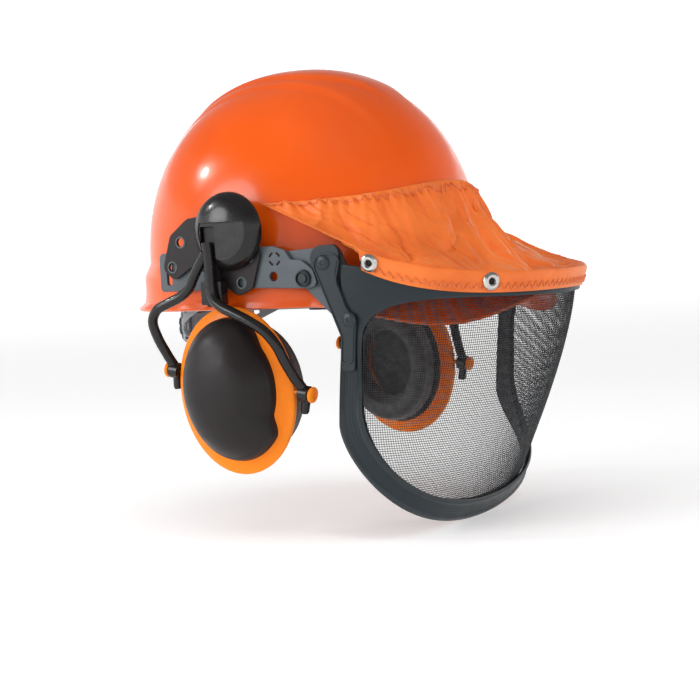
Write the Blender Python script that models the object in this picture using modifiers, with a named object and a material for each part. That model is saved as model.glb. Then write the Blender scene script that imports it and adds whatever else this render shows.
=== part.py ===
"""Hard hat with a mesh visor, a gathered fabric cover over its front and two ear muffs.

Metres, +Z up. The front is -Y and the wearer's left is +X. The origin is the middle of the
headband's opening, at the level of the shell's rim. Pieces that come in pairs are built on
the left, at +X, and mirrored to the right.
"""

import math

import bmesh
import bpy
from mathutils import Matrix, Vector

# Shell: a dome on a short skirt, with a flared lip and a peak.
DOME_HALF_WIDTH = 0.1068
DOME_HALF_LENGTH = 0.1231
DOME_HEIGHT = 0.1312
DOME_CENTRE_Y = -0.0017
DOME_WIDEST_Z = 0.0333
DOME_ROUNDNESS = 2.2
SHELL_WALL = 0.0026
SKIRT_STEP = 0.0030
BAND_HALF_WIDTH = 0.046
BAND_RISE = 0.0011
PEAK_HALF_WIDTH = 0.105
PEAK_LENGTH = 0.127
PEAK_CENTRE_Y = -0.060
PEAK_ROOT_Z = 0.020
PEAK_ARCH = 0.015
PEAK_FROM_ANGLE = math.radians(82)
PEAK_FULL_ANGLE = math.radians(46)
# Rings from the dome's foot to the rim: reach along the peak, level, and how far each one
# stands out from the dome at the sides and at the rear.
RIM_STEPS = (
    (0.10, 0.0225, 0.0030, 0.0044),
    (0.28, 0.0170, 0.0031, 0.0045),
    (0.52, 0.0110, 0.0032, 0.0046),
    (0.78, 0.0045, 0.0035, 0.0052),
    (1.00, 0.0000, 0.0046, 0.0105),
)

# Head harness.
HEADBAND_HALF_WIDTH = 0.081
HEADBAND_HALF_LENGTH = 0.099
HEADBAND_CENTRE_Y = -0.002
HEADBAND_ROUNDNESS = 2.4
HEADBAND_LEVELS = (-0.002, 0.028)
KEY_ANGLES = {"front": math.radians(47), "rear": math.radians(133)}
STRAP_REACH = 0.0956
STRAP_FOOT_Z = 0.030
STRAP_HALF_WIDTH = 0.010
NAPE_Z = -0.016
PINION_RADIUS = 0.0052
HOUSING_Y = (0.0936, 0.1044)

# Visor: the frame, the mesh and the clamp lie on one curved surface.
VISOR_HALF_WIDTH = 0.1158
VISOR_CENTRE_Y = -0.086
VISOR_TOP_Z = 0.010
VISOR_DROP = 0.165
VISOR_LEG_Z = -0.078
VISOR_BOTTOM_DEPTH = 0.0765
VISOR_TOP_ANGLE = math.radians(85.5)
VISOR_WINDOW_ANGLE = math.radians(80)
VISOR_PIVOT = (-0.065, 0.020)
RIVETS = {"upper": (-0.083, 0.030), "lower": (-0.101, -0.008)}
LOOP_COLUMNS = (24, 3, 24, 3)

# Flat plates on each side, as distances from the middle plane.
ARM_FACES = (0.1084, 0.1114)
CARRIER_FACES = (0.1117, 0.1147)
SHOULDER_FACES = (0.1150, 0.1184)
BRACKET_FACES = (0.1151, 0.1171)

# Fabric cover.
COVER_ANGLE = math.radians(78)
COVER_THICKNESS = 0.0010
HEM_RADIUS = 0.1183
FOLD_RADIUS = 0.1235
HEM_HEIGHT = 0.015
COVER_SAG = Vector((0.0, 0.006, -0.022))
SNAP_ANGLES = {"front": math.radians(37), "side": math.radians(75)}

# Ear muffs.
SWING_AXIS = (-0.009, 0.054)
ARM_Y = 0.003
ARM_END_Z = 0.0032
FLIP_AXIS = (0.122, 0.060)
HUB_LEVELS = (0.0045, 0.0205)
CUP_CENTRE = Vector((0.0, -0.0065, -0.0550))
COVER_SHIFT = Vector((0.0, -0.0020, 0.0015))
CUP_SLIMNESS = 0.8136
CUP_LEAN = math.radians(-8)
FRONT_EYE = Vector((0.115, -0.0615, -0.057))
REAR_EYE = Vector((0.115, 0.0445, -0.041))
EYE_HALF_LENGTH = 0.0042
STRAND_RADIUS = 0.0032

GAP = 0.0003


# ---- scene, materials and objects ----

for old in list(bpy.data.objects):
    bpy.data.objects.remove(old, do_unlink=True)


def new_collection(name):
    made = bpy.data.collections.new(name)
    bpy.context.scene.collection.children.link(made)
    return made


HAT = new_collection("hard_hat")
CUTTERS = new_collection("cutters")
CUTTERS.hide_render = True


def new_material(name, colour, roughness, metallic=0.0):
    made = bpy.data.materials.new(name)
    made.use_nodes = True
    shader = made.node_tree.nodes["Principled BSDF"]
    shader.inputs["Base Color"].default_value = (*colour, 1.0)
    shader.inputs["Roughness"].default_value = roughness
    shader.inputs["Metallic"].default_value = metallic
    made.diffuse_color = (*colour, 1.0)
    return made


ORANGE_SHELL = new_material("orange_shell", (0.88, 0.13, 0.016), 0.22)
ORANGE_CUP = new_material("orange_cup", (0.95, 0.22, 0.02), 0.35)
ORANGE_NYLON = new_material("orange_nylon", (0.90, 0.20, 0.04), 0.75)
DARK_FRAME = new_material("dark_frame", (0.030, 0.042, 0.048), 0.4)
SLATE = new_material("slate_carrier", (0.085, 0.095, 0.105), 0.45)
BLACK = new_material("black_plastic", (0.014, 0.013, 0.013), 0.4)
WIRE = new_material("black_wire", (0.02, 0.022, 0.024), 0.5, 0.3)
STEEL = new_material("steel", (0.62, 0.62, 0.60), 0.3, 1.0)
HARNESS = new_material("harness_grey", (0.16, 0.17, 0.18), 0.5)
WEBBING = new_material("webbing", (0.10, 0.10, 0.11), 0.9)
FOAM = new_material("foam", (0.03, 0.03, 0.03), 0.95)
CUSHION = new_material("cushion_skin", (0.045, 0.045, 0.048), 0.6)


def place_object(name, data, finish, smooth=False):
    """A new object of the hat, with its material."""
    made = bpy.data.objects.new(name, data)
    HAT.objects.link(made)
    data.materials.append(finish)
    if smooth:
        data.polygons.foreach_set("use_smooth", [True] * len(data.polygons))
    return made


def as_cutter(tool):
    """Moves an object to the collection of cutters, where it is only a tool."""
    HAT.objects.unlink(tool)
    CUTTERS.objects.link(tool)
    tool.hide_render = True
    tool.display_type = "WIRE"


def boolean(target, operation, tool):
    if tool.name not in CUTTERS.objects:
        as_cutter(tool)
    modifier = target.modifiers.new(tool.name, "BOOLEAN")
    modifier.operation = operation
    modifier.solver = "EXACT"
    modifier.object = tool


def solidify(target, thickness):
    modifier = target.modifiers.new("wall", "SOLIDIFY")
    modifier.thickness = thickness
    modifier.offset = 0.0
    modifier.use_even_offset = True


def bevel(target, width, segments=1):
    modifier = target.modifiers.new("edges", "BEVEL")
    modifier.width = width
    modifier.segments = segments
    modifier.limit_method = "ANGLE"
    modifier.angle_limit = math.radians(40)


def box(name, low, high, finish, place=Matrix.Identity(4), edge=0.0):
    """A box between two corners of its own space, which place sets in the world."""
    low, high = Vector(low), Vector(high)
    mesh = bpy.data.meshes.new(name)
    made = bmesh.new()
    bmesh.ops.create_cube(made, size=1.0)
    for vertex in made.verts:
        vertex.co = (low + high) / 2 + vertex.co * (high - low)
    made.to_mesh(mesh)
    made.free()
    item = place_object(name, mesh, finish)
    item.matrix_world = place
    if edge:
        bevel(item, edge)
    return item


def cylinder(name, start, end, radius, finish, sides=20):
    """A cylinder from one point to another."""
    start, end = Vector(start), Vector(end)
    mesh = bpy.data.meshes.new(name)
    made = bmesh.new()
    bmesh.ops.create_cone(
        made, cap_ends=True, segments=sides, radius1=radius, radius2=radius, depth=(end - start).length
    )
    made.to_mesh(mesh)
    made.free()
    item = place_object(name, mesh, finish)
    item.matrix_world = facing((start + end) / 2, end - start)
    return item


def facing(point, direction):
    """The place of a piece whose own Z axis points along direction."""
    return Matrix.Translation(point) @ Vector(direction).to_track_quat("Z", "Y").to_matrix().to_4x4()


def sheet(name, surface, columns, rows, thickness, finish, closed=False, window=None):
    """A grid bent to surface(u, v), thickened to both sides of it. window(u, v) says where it is open."""
    mesh = bpy.data.meshes.new(name)
    made = bmesh.new()
    bmesh.ops.create_grid(made, x_segments=columns, y_segments=rows, size=0.5)
    if window:
        middles = {face: face.calc_center_median() for face in made.faces}
        holes = [face for face, middle in middles.items() if window(middle.x + 0.5, middle.y + 0.5)]
        bmesh.ops.delete(made, geom=holes, context="FACES")
    for vertex in made.verts:
        vertex.co = surface(vertex.co.x + 0.5, vertex.co.y + 0.5)
    if closed:
        bmesh.ops.remove_doubles(made, verts=made.verts, dist=1e-6)
    made.to_mesh(mesh)
    made.free()
    item = place_object(name, mesh, finish)
    solidify(item, thickness)
    return item


def turned(name, profile, place, finish, steps=28, slim=1.0):
    """A profile of (radius, height), down the outside from the top, spun about its own Z axis."""
    mesh = bpy.data.meshes.new(name)
    corners = [(radius, 0.0, height) for radius, height in profile]
    edges = [(i, i + 1) for i in range(len(corners) - 1)]
    if profile[0][0] > 0:
        edges.append((len(corners) - 1, 0))
    mesh.from_pydata(corners, edges, [])
    item = place_object(name, mesh, finish)
    screw = item.modifiers.new("turn", "SCREW")
    screw.axis = "Z"
    screw.steps = steps
    screw.render_steps = steps
    screw.use_merge_vertices = True
    screw.merge_threshold = 0.00002
    screw.use_smooth_shade = True
    item.matrix_world = place @ Matrix.Diagonal((1.0, slim, 1.0, 1.0))
    return item


def rounded(corners, arc_points=3):
    """An outline of (y, z, corner radius) with each corner turned into an arc."""
    outline = []
    count = len(corners)
    for i, (y, z, radius) in enumerate(corners):
        here = Vector((y, z))
        back = (Vector(corners[i - 1][:2]) - here).normalized()
        ahead = (Vector(corners[(i + 1) % count][:2]) - here).normalized()
        half_angle = back.angle(ahead) / 2
        centre = here + (back + ahead).normalized() * (radius / math.sin(half_angle))
        start = here + back * (radius / math.tan(half_angle)) - centre
        end = here + ahead * (radius / math.tan(half_angle)) - centre
        for step in range(arc_points + 1):
            spoke = start.lerp(end, step / arc_points).normalized() * radius
            outline.append(centre + spoke)
    return outline


def circle(centre, radius, points=12):
    angles = [2 * math.pi * i / points for i in range(points)]
    return [Vector(centre) + radius * Vector((math.cos(a), math.sin(a))) for a in angles]


def curve_to_mesh(item):
    """Replaces a curve object by the mesh that it draws, with its loose seams closed."""
    graph = bpy.context.evaluated_depsgraph_get()
    mesh = bpy.data.meshes.new_from_object(item.evaluated_get(graph))
    made = bmesh.new()
    made.from_mesh(mesh)
    bmesh.ops.remove_doubles(made, verts=made.verts, dist=1e-6)
    made.to_mesh(mesh)
    made.free()
    place, name, finish = item.matrix_world.copy(), item.name, item.data.materials[0]
    bpy.data.objects.remove(item, do_unlink=True)
    mesh.materials.clear()
    made_item = place_object(name, mesh, finish)
    made_item.matrix_world = place
    return made_item


def plate(name, outline, faces, finish, holes=()):
    """A flat plate upright in the Y-Z plane, between two distances from the middle of the hat."""
    curve = bpy.data.curves.new(name, "CURVE")
    curve.dimensions = "2D"
    curve.fill_mode = "BOTH"
    curve.extrude = (faces[1] - faces[0]) / 2
    loops = [rounded(outline)] + [circle((y, z), radius) for y, z, radius in holes]
    for loop in loops:
        spline = curve.splines.new("POLY")
        spline.points.add(len(loop) - 1)
        for point, place in zip(spline.points, loop):
            point.co = (place.x, place.y, 0.0, 1.0)
        spline.use_cyclic_u = True
    item = place_object(name, curve, finish)
    y_z_plane = Matrix(((0, 0, 1), (1, 0, 0), (0, 1, 0))).to_4x4()
    item.matrix_world = Matrix.Translation(((faces[0] + faces[1]) / 2, 0, 0)) @ y_z_plane
    bpy.context.view_layer.update()
    return curve_to_mesh(item)


def smooth_route(points, steps=2):
    """Points on a smooth curve through the given ones."""
    points = [Vector(point) for point in points]
    padded = [2 * points[0] - points[1]] + points + [2 * points[-1] - points[-2]]
    route = []
    for i in range(len(points) - 1):
        before, start, end, after = padded[i : i + 4]
        for step in range(steps):
            t = step / steps
            bend = (2 * before - 5 * start + 4 * end - after) * t * t
            twist = (3 * start - before - 3 * end + after) * t ** 3
            route.append((2 * start + (end - before) * t + bend + twist) / 2)
    return route + [points[-1]]


def tube(name, points, radius, finish):
    curve = bpy.data.curves.new(name, "CURVE")
    curve.dimensions = "3D"
    curve.bevel_depth = radius
    curve.bevel_resolution = 2
    curve.use_fill_caps = True
    route = smooth_route(points)
    spline = curve.splines.new("POLY")
    spline.points.add(len(route) - 1)
    for point, place in zip(spline.points, route):
        point.co = (*place, 1.0)
    item = place_object(name, curve, finish)
    bpy.context.view_layer.update()
    return curve_to_mesh(item)


def mirrored(original):
    """The same piece on the right side of the hat."""
    bpy.context.view_layer.update()
    graph = bpy.context.evaluated_depsgraph_get()
    mesh = bpy.data.meshes.new_from_object(original.evaluated_get(graph))
    mesh.transform(Matrix.Scale(-1, 4, (1, 0, 0)) @ original.matrix_world)
    mesh.flip_normals()
    made = bpy.data.objects.new(original.name.replace("_left", "_right"), mesh)
    HAT.objects.link(made)
    return made


def new_pivot(name, point, parent=None):
    """An empty on a joint's axis, which carries the pieces that move about it."""
    made = bpy.data.objects.new(name, None)
    made.empty_display_size = 0.02
    HAT.objects.link(made)
    made.location = point
    bpy.context.view_layer.update()
    if parent:
        carry([made], parent)
    return made


def carry(pieces, parent):
    """Parents pieces to an empty without moving them."""
    bpy.context.view_layer.update()
    for piece in pieces:
        piece.parent = parent
        piece.matrix_parent_inverse = parent.matrix_world.inverted()
    bpy.context.view_layer.update()


# ---- shell ----


def superellipse(angle, half_width, half_length, roundness):
    """A point at this angle from the front, on a rounded outline about the Z axis."""
    side, front = math.sin(angle), -math.cos(angle)
    reach = (abs(side) ** roundness + abs(front) ** roundness) ** (-1 / roundness)
    return Vector((half_width * side * reach, half_length * front * reach, 0.0))


def shell_outline(angle, offset=0.0):
    """The shell's widest outline, grown by offset."""
    outline = superellipse(angle, DOME_HALF_WIDTH + offset, DOME_HALF_LENGTH + offset, DOME_ROUNDNESS)
    return outline + Vector((0.0, DOME_CENTRE_Y, 0.0))


def shell_normal(angle):
    point = shell_outline(angle) - Vector((0.0, DOME_CENTRE_Y, 0.0))
    power = DOME_ROUNDNESS - 1
    across = math.copysign(abs(point.x / DOME_HALF_WIDTH) ** power / DOME_HALF_WIDTH, point.x)
    along = math.copysign(abs(point.y / DOME_HALF_LENGTH) ** power / DOME_HALF_LENGTH, point.y)
    return Vector((across, along, 0.0)).normalized()


def soft_step(value):
    value = min(1.0, max(0.0, value))
    return value * value * (3 - 2 * value)


def crown_band(x, y):
    """How far the raised band along the crown stands out at this place."""
    across = soft_step((BAND_HALF_WIDTH + 0.006 - abs(x)) / 0.012)
    along = soft_step((0.112 - abs(y - DOME_CENTRE_Y)) / 0.050)
    return BAND_RISE * across * along


def dome_point(angle, tilt, offset=0.0):
    """A point on the dome, from tilt 0 at its widest level to 90 degrees at its top."""
    level = math.cos(tilt) ** (2 / DOME_ROUNDNESS)
    height = math.sin(tilt) ** (2 / DOME_ROUNDNESS)
    point = shell_outline(angle, offset)
    x = point.x * level
    y = DOME_CENTRE_Y + (point.y - DOME_CENTRE_Y) * level
    rise = crown_band(x, y) * height
    return Vector((x, y, DOME_WIDEST_Z + (DOME_HEIGHT + offset) * height + rise))


def peak_edge(angle):
    """The peak's outer edge. It is highest in the middle and dips to either side."""
    turn = min(math.pi / 2, 1.5 * abs(angle))
    x = math.copysign(PEAK_HALF_WIDTH * math.sin(turn), angle)
    y = PEAK_CENTRE_Y - PEAK_LENGTH * math.cos(turn)
    z = -PEAK_ARCH * math.sin(2 * turn) ** 2
    return Vector((x, y, z))


def rim_point(angle, step, offset=0.0):
    """A point on one of the rings from the dome's foot to the lip and the peak's edge."""
    reach, level, side_step, rear_step = RIM_STEPS[step]
    rear = soft_step((abs(angle) - math.radians(95)) / math.radians(45))
    side = shell_outline(angle, side_step + (rear_step - side_step) * rear + offset)
    side.z = level
    edge = peak_edge(angle)
    root = shell_outline(angle, SKIRT_STEP + offset)
    root.z = PEAK_ROOT_Z
    peak = root.lerp(edge, reach)
    peak.z = PEAK_ROOT_Z + (edge.z - PEAK_ROOT_Z) * reach ** 1.25
    share = soft_step((PEAK_FROM_ANGLE - abs(angle)) / (PEAK_FROM_ANGLE - PEAK_FULL_ANGLE))
    return side.lerp(peak, share)


def make_shell():
    mesh = bpy.data.meshes.new("shell")
    made = bmesh.new()
    angle_of = made.verts.layers.float.new("angle_from_front")
    bmesh.ops.create_uvsphere(made, u_segments=40, v_segments=16, radius=1.0)
    lower = [vertex for vertex in made.verts if vertex.co.z < -0.001]
    bmesh.ops.delete(made, geom=lower, context="VERTS")
    middle = -SHELL_WALL / 2
    for vertex in made.verts:
        vertex[angle_of] = math.atan2(vertex.co.x, -vertex.co.y)
        tilt = math.asin(min(1.0, max(0.0, vertex.co.z)))
        vertex.co = dome_point(vertex[angle_of], tilt, middle)
    for step in range(len(RIM_STEPS)):
        border = [edge for edge in made.edges if edge.is_boundary]
        grown = bmesh.ops.extrude_edge_only(made, edges=border)["geom"]
        for vertex in [item for item in grown if isinstance(item, bmesh.types.BMVert)]:
            vertex.co = rim_point(vertex[angle_of], step, middle)
    bmesh.ops.recalc_face_normals(made, faces=made.faces)
    made.to_mesh(mesh)
    made.free()
    shell = place_object("shell", mesh, ORANGE_SHELL, smooth=True)
    solidify(shell, SHELL_WALL)
    return shell


def key_frame(angle):
    """The place on the shell's inner wall at this angle, with its own X axis pointing out."""
    out = shell_normal(angle)
    turn = math.atan2(out.y, out.x)
    wall = shell_outline(angle, SKIRT_STEP - SHELL_WALL)
    return Matrix.Translation(wall) @ Matrix.Rotation(turn, 4, "Z")


def key_angles():
    """The four anchor places: a name and an angle from the front."""
    for end, angle in KEY_ANGLES.items():
        for side, sign in (("left", 1), ("right", -1)):
            yield f"{end}_{side}", sign * angle


def add_key_pockets(shell):
    for name, angle in key_angles():
        frame = key_frame(angle)
        low, high = (-0.0094, -0.0155, 0.010), (0.0022, 0.0155, 0.022)
        boolean(shell, "UNION", box(f"pocket_wall_{name}", low, high, ORANGE_SHELL, frame))
    for name, angle in key_angles():
        low, high = (-0.0077, -0.0134, -0.020), (-0.0031, 0.0134, 0.040)
        boolean(shell, "DIFFERENCE", box(f"pocket_slot_{name}", low, high, ORANGE_SHELL, key_frame(angle)))


def add_carrier_slots(shell):
    for name, sign in (("left", 1), ("right", -1)):
        low, high = (0.098, -0.008, 0.0152), (0.116, 0.018, 0.0198)
        place = Matrix.Identity(4) if sign > 0 else Matrix.Translation((-0.214, 0.0, 0.0))
        boolean(shell, "DIFFERENCE", box(f"carrier_slot_{name}", low, high, ORANGE_SHELL, place))


# ---- head harness ----


def headband_point(angle, offset=0.0):
    half_width = HEADBAND_HALF_WIDTH + offset
    half_length = HEADBAND_HALF_LENGTH + offset
    point = superellipse(angle, half_width, half_length, HEADBAND_ROUNDNESS)
    return point + Vector((0.0, HEADBAND_CENTRE_Y, 0.0))


def make_headband():
    low, high = HEADBAND_LEVELS
    reach = math.radians(118)

    def surface(u, v):
        point = headband_point((2 * u - 1) * reach)
        point.z = low + (high - low) * v
        return point

    def window(u, v):
        return abs(v - 0.5) < 0.2 and abs(u - 0.5) > 0.3 and int(u * 30) % 3 == 1

    sheet("headband", surface, 30, 3, 0.0015, HARNESS, window=window)

    def inner_surface(u, v):
        point = headband_point((2 * u - 1) * math.radians(66), -0.0022)
        point.z = low - 0.001 + (high - low + 0.002) * v
        return point

    sheet("sweatband", inner_surface, 16, 1, 0.0022, FOAM)


def make_anchor_keys():
    for name, angle in key_angles():
        frame = key_frame(angle)
        key = box(f"anchor_key_{name}", (-0.0073, -0.0130, 0.008), (-0.0035, 0.0130, 0.0360), HARNESS, frame)
        arm = box(f"key_arm_{name}", (-0.0200, -0.0050, 0.0310), (-0.0050, 0.0050, 0.0350), HARNESS, frame)
        tab = box(f"key_tab_{name}", (-0.0210, -0.0110, 0.0200), (-0.0185, 0.0110, 0.0355), HARNESS, frame)
        boolean(key, "UNION", arm)
        boolean(key, "UNION", tab)


def make_crown_straps():
    """Two webbing straps that cross under the crown, one just above the other."""
    power = 0.87
    for name, side, top in (("upper", 1, 0.1250), ("lower", -1, 0.1225)):
        out = shell_outline(side * KEY_ANGLES["front"]).normalized()
        across = Vector((-out.y, out.x, 0.0))

        def surface(u, v):
            turn = math.pi * u
            level = math.copysign(abs(math.cos(turn)) ** power, math.cos(turn))
            rise = math.sin(turn) ** power
            point = out * STRAP_REACH * level + across * STRAP_HALF_WIDTH * (2 * v - 1)
            point.y += DOME_CENTRE_Y
            point.z = STRAP_FOOT_Z + (top - STRAP_FOOT_Z) * rise
            return point

        sheet(f"crown_strap_{name}", surface, 20, 1, 0.0012, WEBBING)


def make_nape():
    """The slotted arms, the ratchet housing, its knob and its pinion."""
    start, end = math.radians(112), math.radians(171)

    def surface(u, v):
        angle = start + (end - start) * u
        point = headband_point(angle, 0.0043 * soft_step((u - 0.15) / 0.35) - 0.0021)
        middle = 0.010 + (NAPE_Z - 0.010) * soft_step(u * 1.15)
        point.z = middle + 0.016 * (v - 0.5)
        return point

    def window(u, v):
        return abs(v - 0.5) < 0.2 and 0.1 < u < 0.8 and int(u * 20) % 2 == 1

    left = sheet("nape_arm_left", surface, 20, 3, 0.0014, HARNESS, window=window)
    right = mirrored(left)
    rack_z = PINION_RADIUS + 0.0019
    for arm, sign in ((left, 1), (right, -1)):
        middle = Vector((sign * 0.0023, 0.0996, NAPE_Z + sign * rack_z))
        half = Vector((0.0142, 0.0010, 0.0015))
        rack = box(f"rack_{arm.name}", middle - half, middle + half, HARNESS)
        boolean(arm, "UNION", rack)

    front, back = HOUSING_Y
    housing = box("ratchet_housing", (-0.026, front, -0.027), (0.026, back, -0.005), HARNESS, edge=0.0012)
    slot = box("arm_slot", (-0.04, front + 0.0017, -0.0256), (0.04, back - 0.0027, -0.0064), HARNESS)
    boolean(housing, "DIFFERENCE", slot)
    bore = cylinder("knob_bore", (0, back - 0.004, NAPE_Z), (0, back + 0.01, NAPE_Z), 0.0042, HARNESS)
    boolean(housing, "DIFFERENCE", bore)

    pinion = cylinder("ratchet_pinion", (0, 0.0956, NAPE_Z), (0, 0.1009, NAPE_Z), PINION_RADIUS, STEEL, 16)
    profile = [
        (0.0, 0.0118), (0.0130, 0.0118), (0.0160, 0.0100), (0.0165, 0.0012), (0.0036, 0.0),
        (0.0036, -0.0033), (0.0, -0.0033),
    ]
    knob = turned("ratchet_knob", profile, facing((0, back + GAP, NAPE_Z), (0, 1, 0)), DARK_FRAME, 20)
    slide = new_pivot("nape_slide", (0, front, NAPE_Z))
    carry([left, right, housing], slide)
    carry([pinion, knob], new_pivot("ratchet_turn", (0, back, NAPE_Z), slide))


# ---- visor ----


def visor_point(angle, z, offset=0.0):
    """A point of the visor's surface. Its front draws in towards the bottom."""
    drop = max(0.0, (VISOR_TOP_Z - z) / VISOR_DROP)
    half_width = VISOR_HALF_WIDTH + offset
    depth = half_width - 0.080 * drop ** 1.45
    centre = VISOR_CENTRE_Y - 0.0054 * drop
    return Vector((half_width * math.sin(angle), centre - depth * math.cos(angle), z))


def spread(u, limit):
    """Angles from -limit to limit, closest together at the ends."""
    return limit * math.sin(math.pi / 2 * (2 * u - 1))


def frame_top(angle):
    return 0.030 - 0.0195 * math.cos(angle)


def frame_bottom(angle):
    return VISOR_LEG_Z - VISOR_BOTTOM_DEPTH * max(0.0, math.cos(angle)) ** 0.55


def window_top(angle, limit, grow):
    corner = 1 - (1 - min(1.0, abs(angle / limit)) ** 5) ** 0.2
    return 0.0100 - 0.009 * math.cos(angle) - 0.060 * corner + grow


def window_bottom(angle, limit, grow):
    return -0.062 - grow - 0.079 * max(0.0, math.cos(angle * math.pi / 2 / limit)) ** 0.45


def window_limit(grow):
    return VISOR_WINDOW_ANGLE + grow / VISOR_HALF_WIDTH


def loop_place(u):
    """The side of a loop that u is on (top, leg, bottom, other leg) and the share along it."""
    column = round(u * sum(LOOP_COLUMNS)) % sum(LOOP_COLUMNS)
    side = 0
    while column >= LOOP_COLUMNS[side]:
        column -= LOOP_COLUMNS[side]
        side += 1
    return side, column / LOOP_COLUMNS[side]


def outer_loop(u):
    """(angle, z) round the frame's outside: the top bar, a leg, the bottom and the other leg."""
    side, share = loop_place(u)
    if side == 0:
        angle = spread(share, VISOR_TOP_ANGLE)
        return angle, frame_top(angle)
    if side == 2:
        angle = -spread(share, math.pi / 2)
        return angle, frame_bottom(angle)
    up = 1 - share if side == 1 else share
    angle = math.pi / 2 + (VISOR_TOP_ANGLE - math.pi / 2) * min(1.0, 1.5 * up)
    z = VISOR_LEG_Z + (frame_top(VISOR_TOP_ANGLE) - VISOR_LEG_Z) * up
    return (angle, z) if side == 1 else (-angle, z)


def inner_loop(u, grow=0.0):
    """(angle, z) round the window in the frame, grown outwards."""
    side, share = loop_place(u)
    limit = window_limit(grow)
    if side == 0:
        angle = spread(share, limit)
        return angle, window_top(angle, limit, grow)
    if side == 2:
        angle = -spread(share, limit)
        return angle, window_bottom(angle, limit, grow)
    top, low = window_top(limit, limit, grow), window_bottom(limit, limit, grow)
    return (limit, top + (low - top) * share) if side == 1 else (-limit, low + (top - low) * share)


def make_visor_frame():
    def surface(u, v):
        outer, inner = outer_loop(u), inner_loop(u)
        angle = outer[0] + (inner[0] - outer[0]) * v
        z = outer[1] + (inner[1] - outer[1]) * v
        return visor_point(angle, z)

    frame = sheet("visor_frame", surface, sum(LOOP_COLUMNS), 1, 0.0026, DARK_FRAME, closed=True)
    outline = [
        (-0.0690, 0.041, 0.0085), (-0.0950, -0.022, 0.0100), (-0.0935, -0.042, 0.0030),
        (-0.1030, -0.042, 0.0030), (-0.1055, -0.010, 0.0080), (-0.0985, 0.002, 0.0060),
        (-0.0915, 0.021, 0.0060), (-0.0970, 0.042, 0.0060),
    ]
    shoulder = plate("shoulder_left", outline, SHOULDER_FACES, DARK_FRAME)
    for piece in (shoulder, mirrored(shoulder)):
        boolean(frame, "UNION", piece)
    for name, (y, z) in RIVETS.items():
        bore = cylinder(f"rivet_bore_{name}", (-0.14, y, z), (0.14, y, z), 0.0026, DARK_FRAME, sides=16)
        boolean(frame, "DIFFERENCE", bore)
    return frame


def make_visor_clamp():
    def surface(u, v):
        angle, z = inner_loop(u, 0.0045 * v)
        return visor_point(angle, z, -0.0039)

    clamp = sheet("visor_clamp", surface, sum(LOOP_COLUMNS), 1, 0.0019, DARK_FRAME, closed=True)
    low, high = (-0.130, -0.1062, -0.0135), (0.130, -0.0900, -0.0040)
    boolean(clamp, "DIFFERENCE", box("clamp_relief", low, high, DARK_FRAME))
    return clamp


def make_visor_mesh():
    limit = window_limit(0.004)

    def surface(u, v):
        angle = spread(u, limit)
        low, high = window_bottom(angle, limit, 0.004), window_top(angle, limit, 0.004)
        return visor_point(angle, low + (high - low) * v, -0.0022)

    return sheet("visor_mesh", surface, LOOP_COLUMNS[0], 6, 0.0005, WIRE)


def make_visor_arm():
    """The swinging plate at one side, its pivot pin and the two rivets that hold the frame."""
    outline = [
        (-0.042, 0.038, 0.004), (-0.050, 0.0165, 0.006), (-0.062, 0.0150, 0.005), (-0.092, -0.0125, 0.005),
        (-0.1045, -0.0145, 0.005), (-0.107, 0.004, 0.005), (-0.090, 0.041, 0.007),
    ]
    holes = [(*VISOR_PIVOT, 0.0043), (*RIVETS["lower"], 0.0026)]
    arm = plate("visor_arm_left", outline, ARM_FACES, SLATE, holes)
    spacer = cylinder("spacer", (0.1100, *RIVETS["upper"]), (0.1147, *RIVETS["upper"]), 0.0050, SLATE, 16)
    boolean(arm, "UNION", spacer)
    bore = cylinder("spacer_bore", (0.1000, *RIVETS["upper"]), (0.1200, *RIVETS["upper"]), 0.0026, SLATE, 12)
    boolean(arm, "DIFFERENCE", bore)
    profile = [
        (0.0, 0.1200), (0.0032, 0.1198), (0.0050, 0.1187), (0.0023, 0.1187), (0.0023, 0.1081),
        (0.0045, 0.1081), (0.0045, 0.1068), (0.0, 0.1068),
    ]
    rivets = [
        turned(f"visor_rivet_{name}_left", profile, facing((0.0, y, z), (1, 0, 0)), DARK_FRAME, 12)
        for name, (y, z) in RIVETS.items()
    ]
    return [arm] + rivets


def make_carrier():
    """The flat strip clipped into the shell's side slot, and the pin that the visor swings on."""
    outline = [
        (0.054, 0.014, 0.003), (0.054, 0.041, 0.004), (-0.041, 0.0425, 0.005), (-0.0505, 0.0395, 0.002),
        (-0.0550, 0.0330, 0.003), (-0.0635, 0.0322, 0.005), (-0.0720, 0.0260, 0.006),
        (-0.0760, 0.0150, 0.004), (-0.0670, 0.0132, 0.005), (-0.032, 0.0145, 0.010),
    ]
    holes = [(*VISOR_PIVOT, 0.0043), (-0.041, 0.022, 0.0032), (-0.044, 0.033, 0.0022)]
    carrier = plate("carrier_left", outline, CARRIER_FACES, SLATE, holes=holes)
    boolean(carrier, "UNION", box("carrier_tab", (0.1035, -0.007, 0.016), (0.1130, 0.017, 0.019), SLATE))
    profile = [
        (0.0, 0.1172), (0.0050, 0.1170), (0.0060, 0.1150), (0.0040, 0.1150), (0.0040, 0.1080),
        (0.0062, 0.1080), (0.0062, 0.1062), (0.0, 0.1062),
    ]
    pin = turned("visor_pivot_pin_left", profile, facing((0.0, *VISOR_PIVOT), (1, 0, 0)), DARK_FRAME, 16)
    return [carrier, pin]


# ---- fabric cover ----


def hem_level(angle):
    """The height of the hem's lower edge, which rises to the shoulders."""
    return 0.004 + 0.020 * (abs(angle) / COVER_ANGLE) ** 4


def elastic_edge(angle):
    """The cover's gathered edge, on the dome."""
    z = 0.0715 + 0.011 * math.cos(angle) ** 4
    tilt = math.asin(((z - DOME_WIDEST_Z) / DOME_HEIGHT) ** (DOME_ROUNDNESS / 2))
    point = dome_point(angle, tilt, 0.0016)
    point.z = z
    return point


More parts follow.
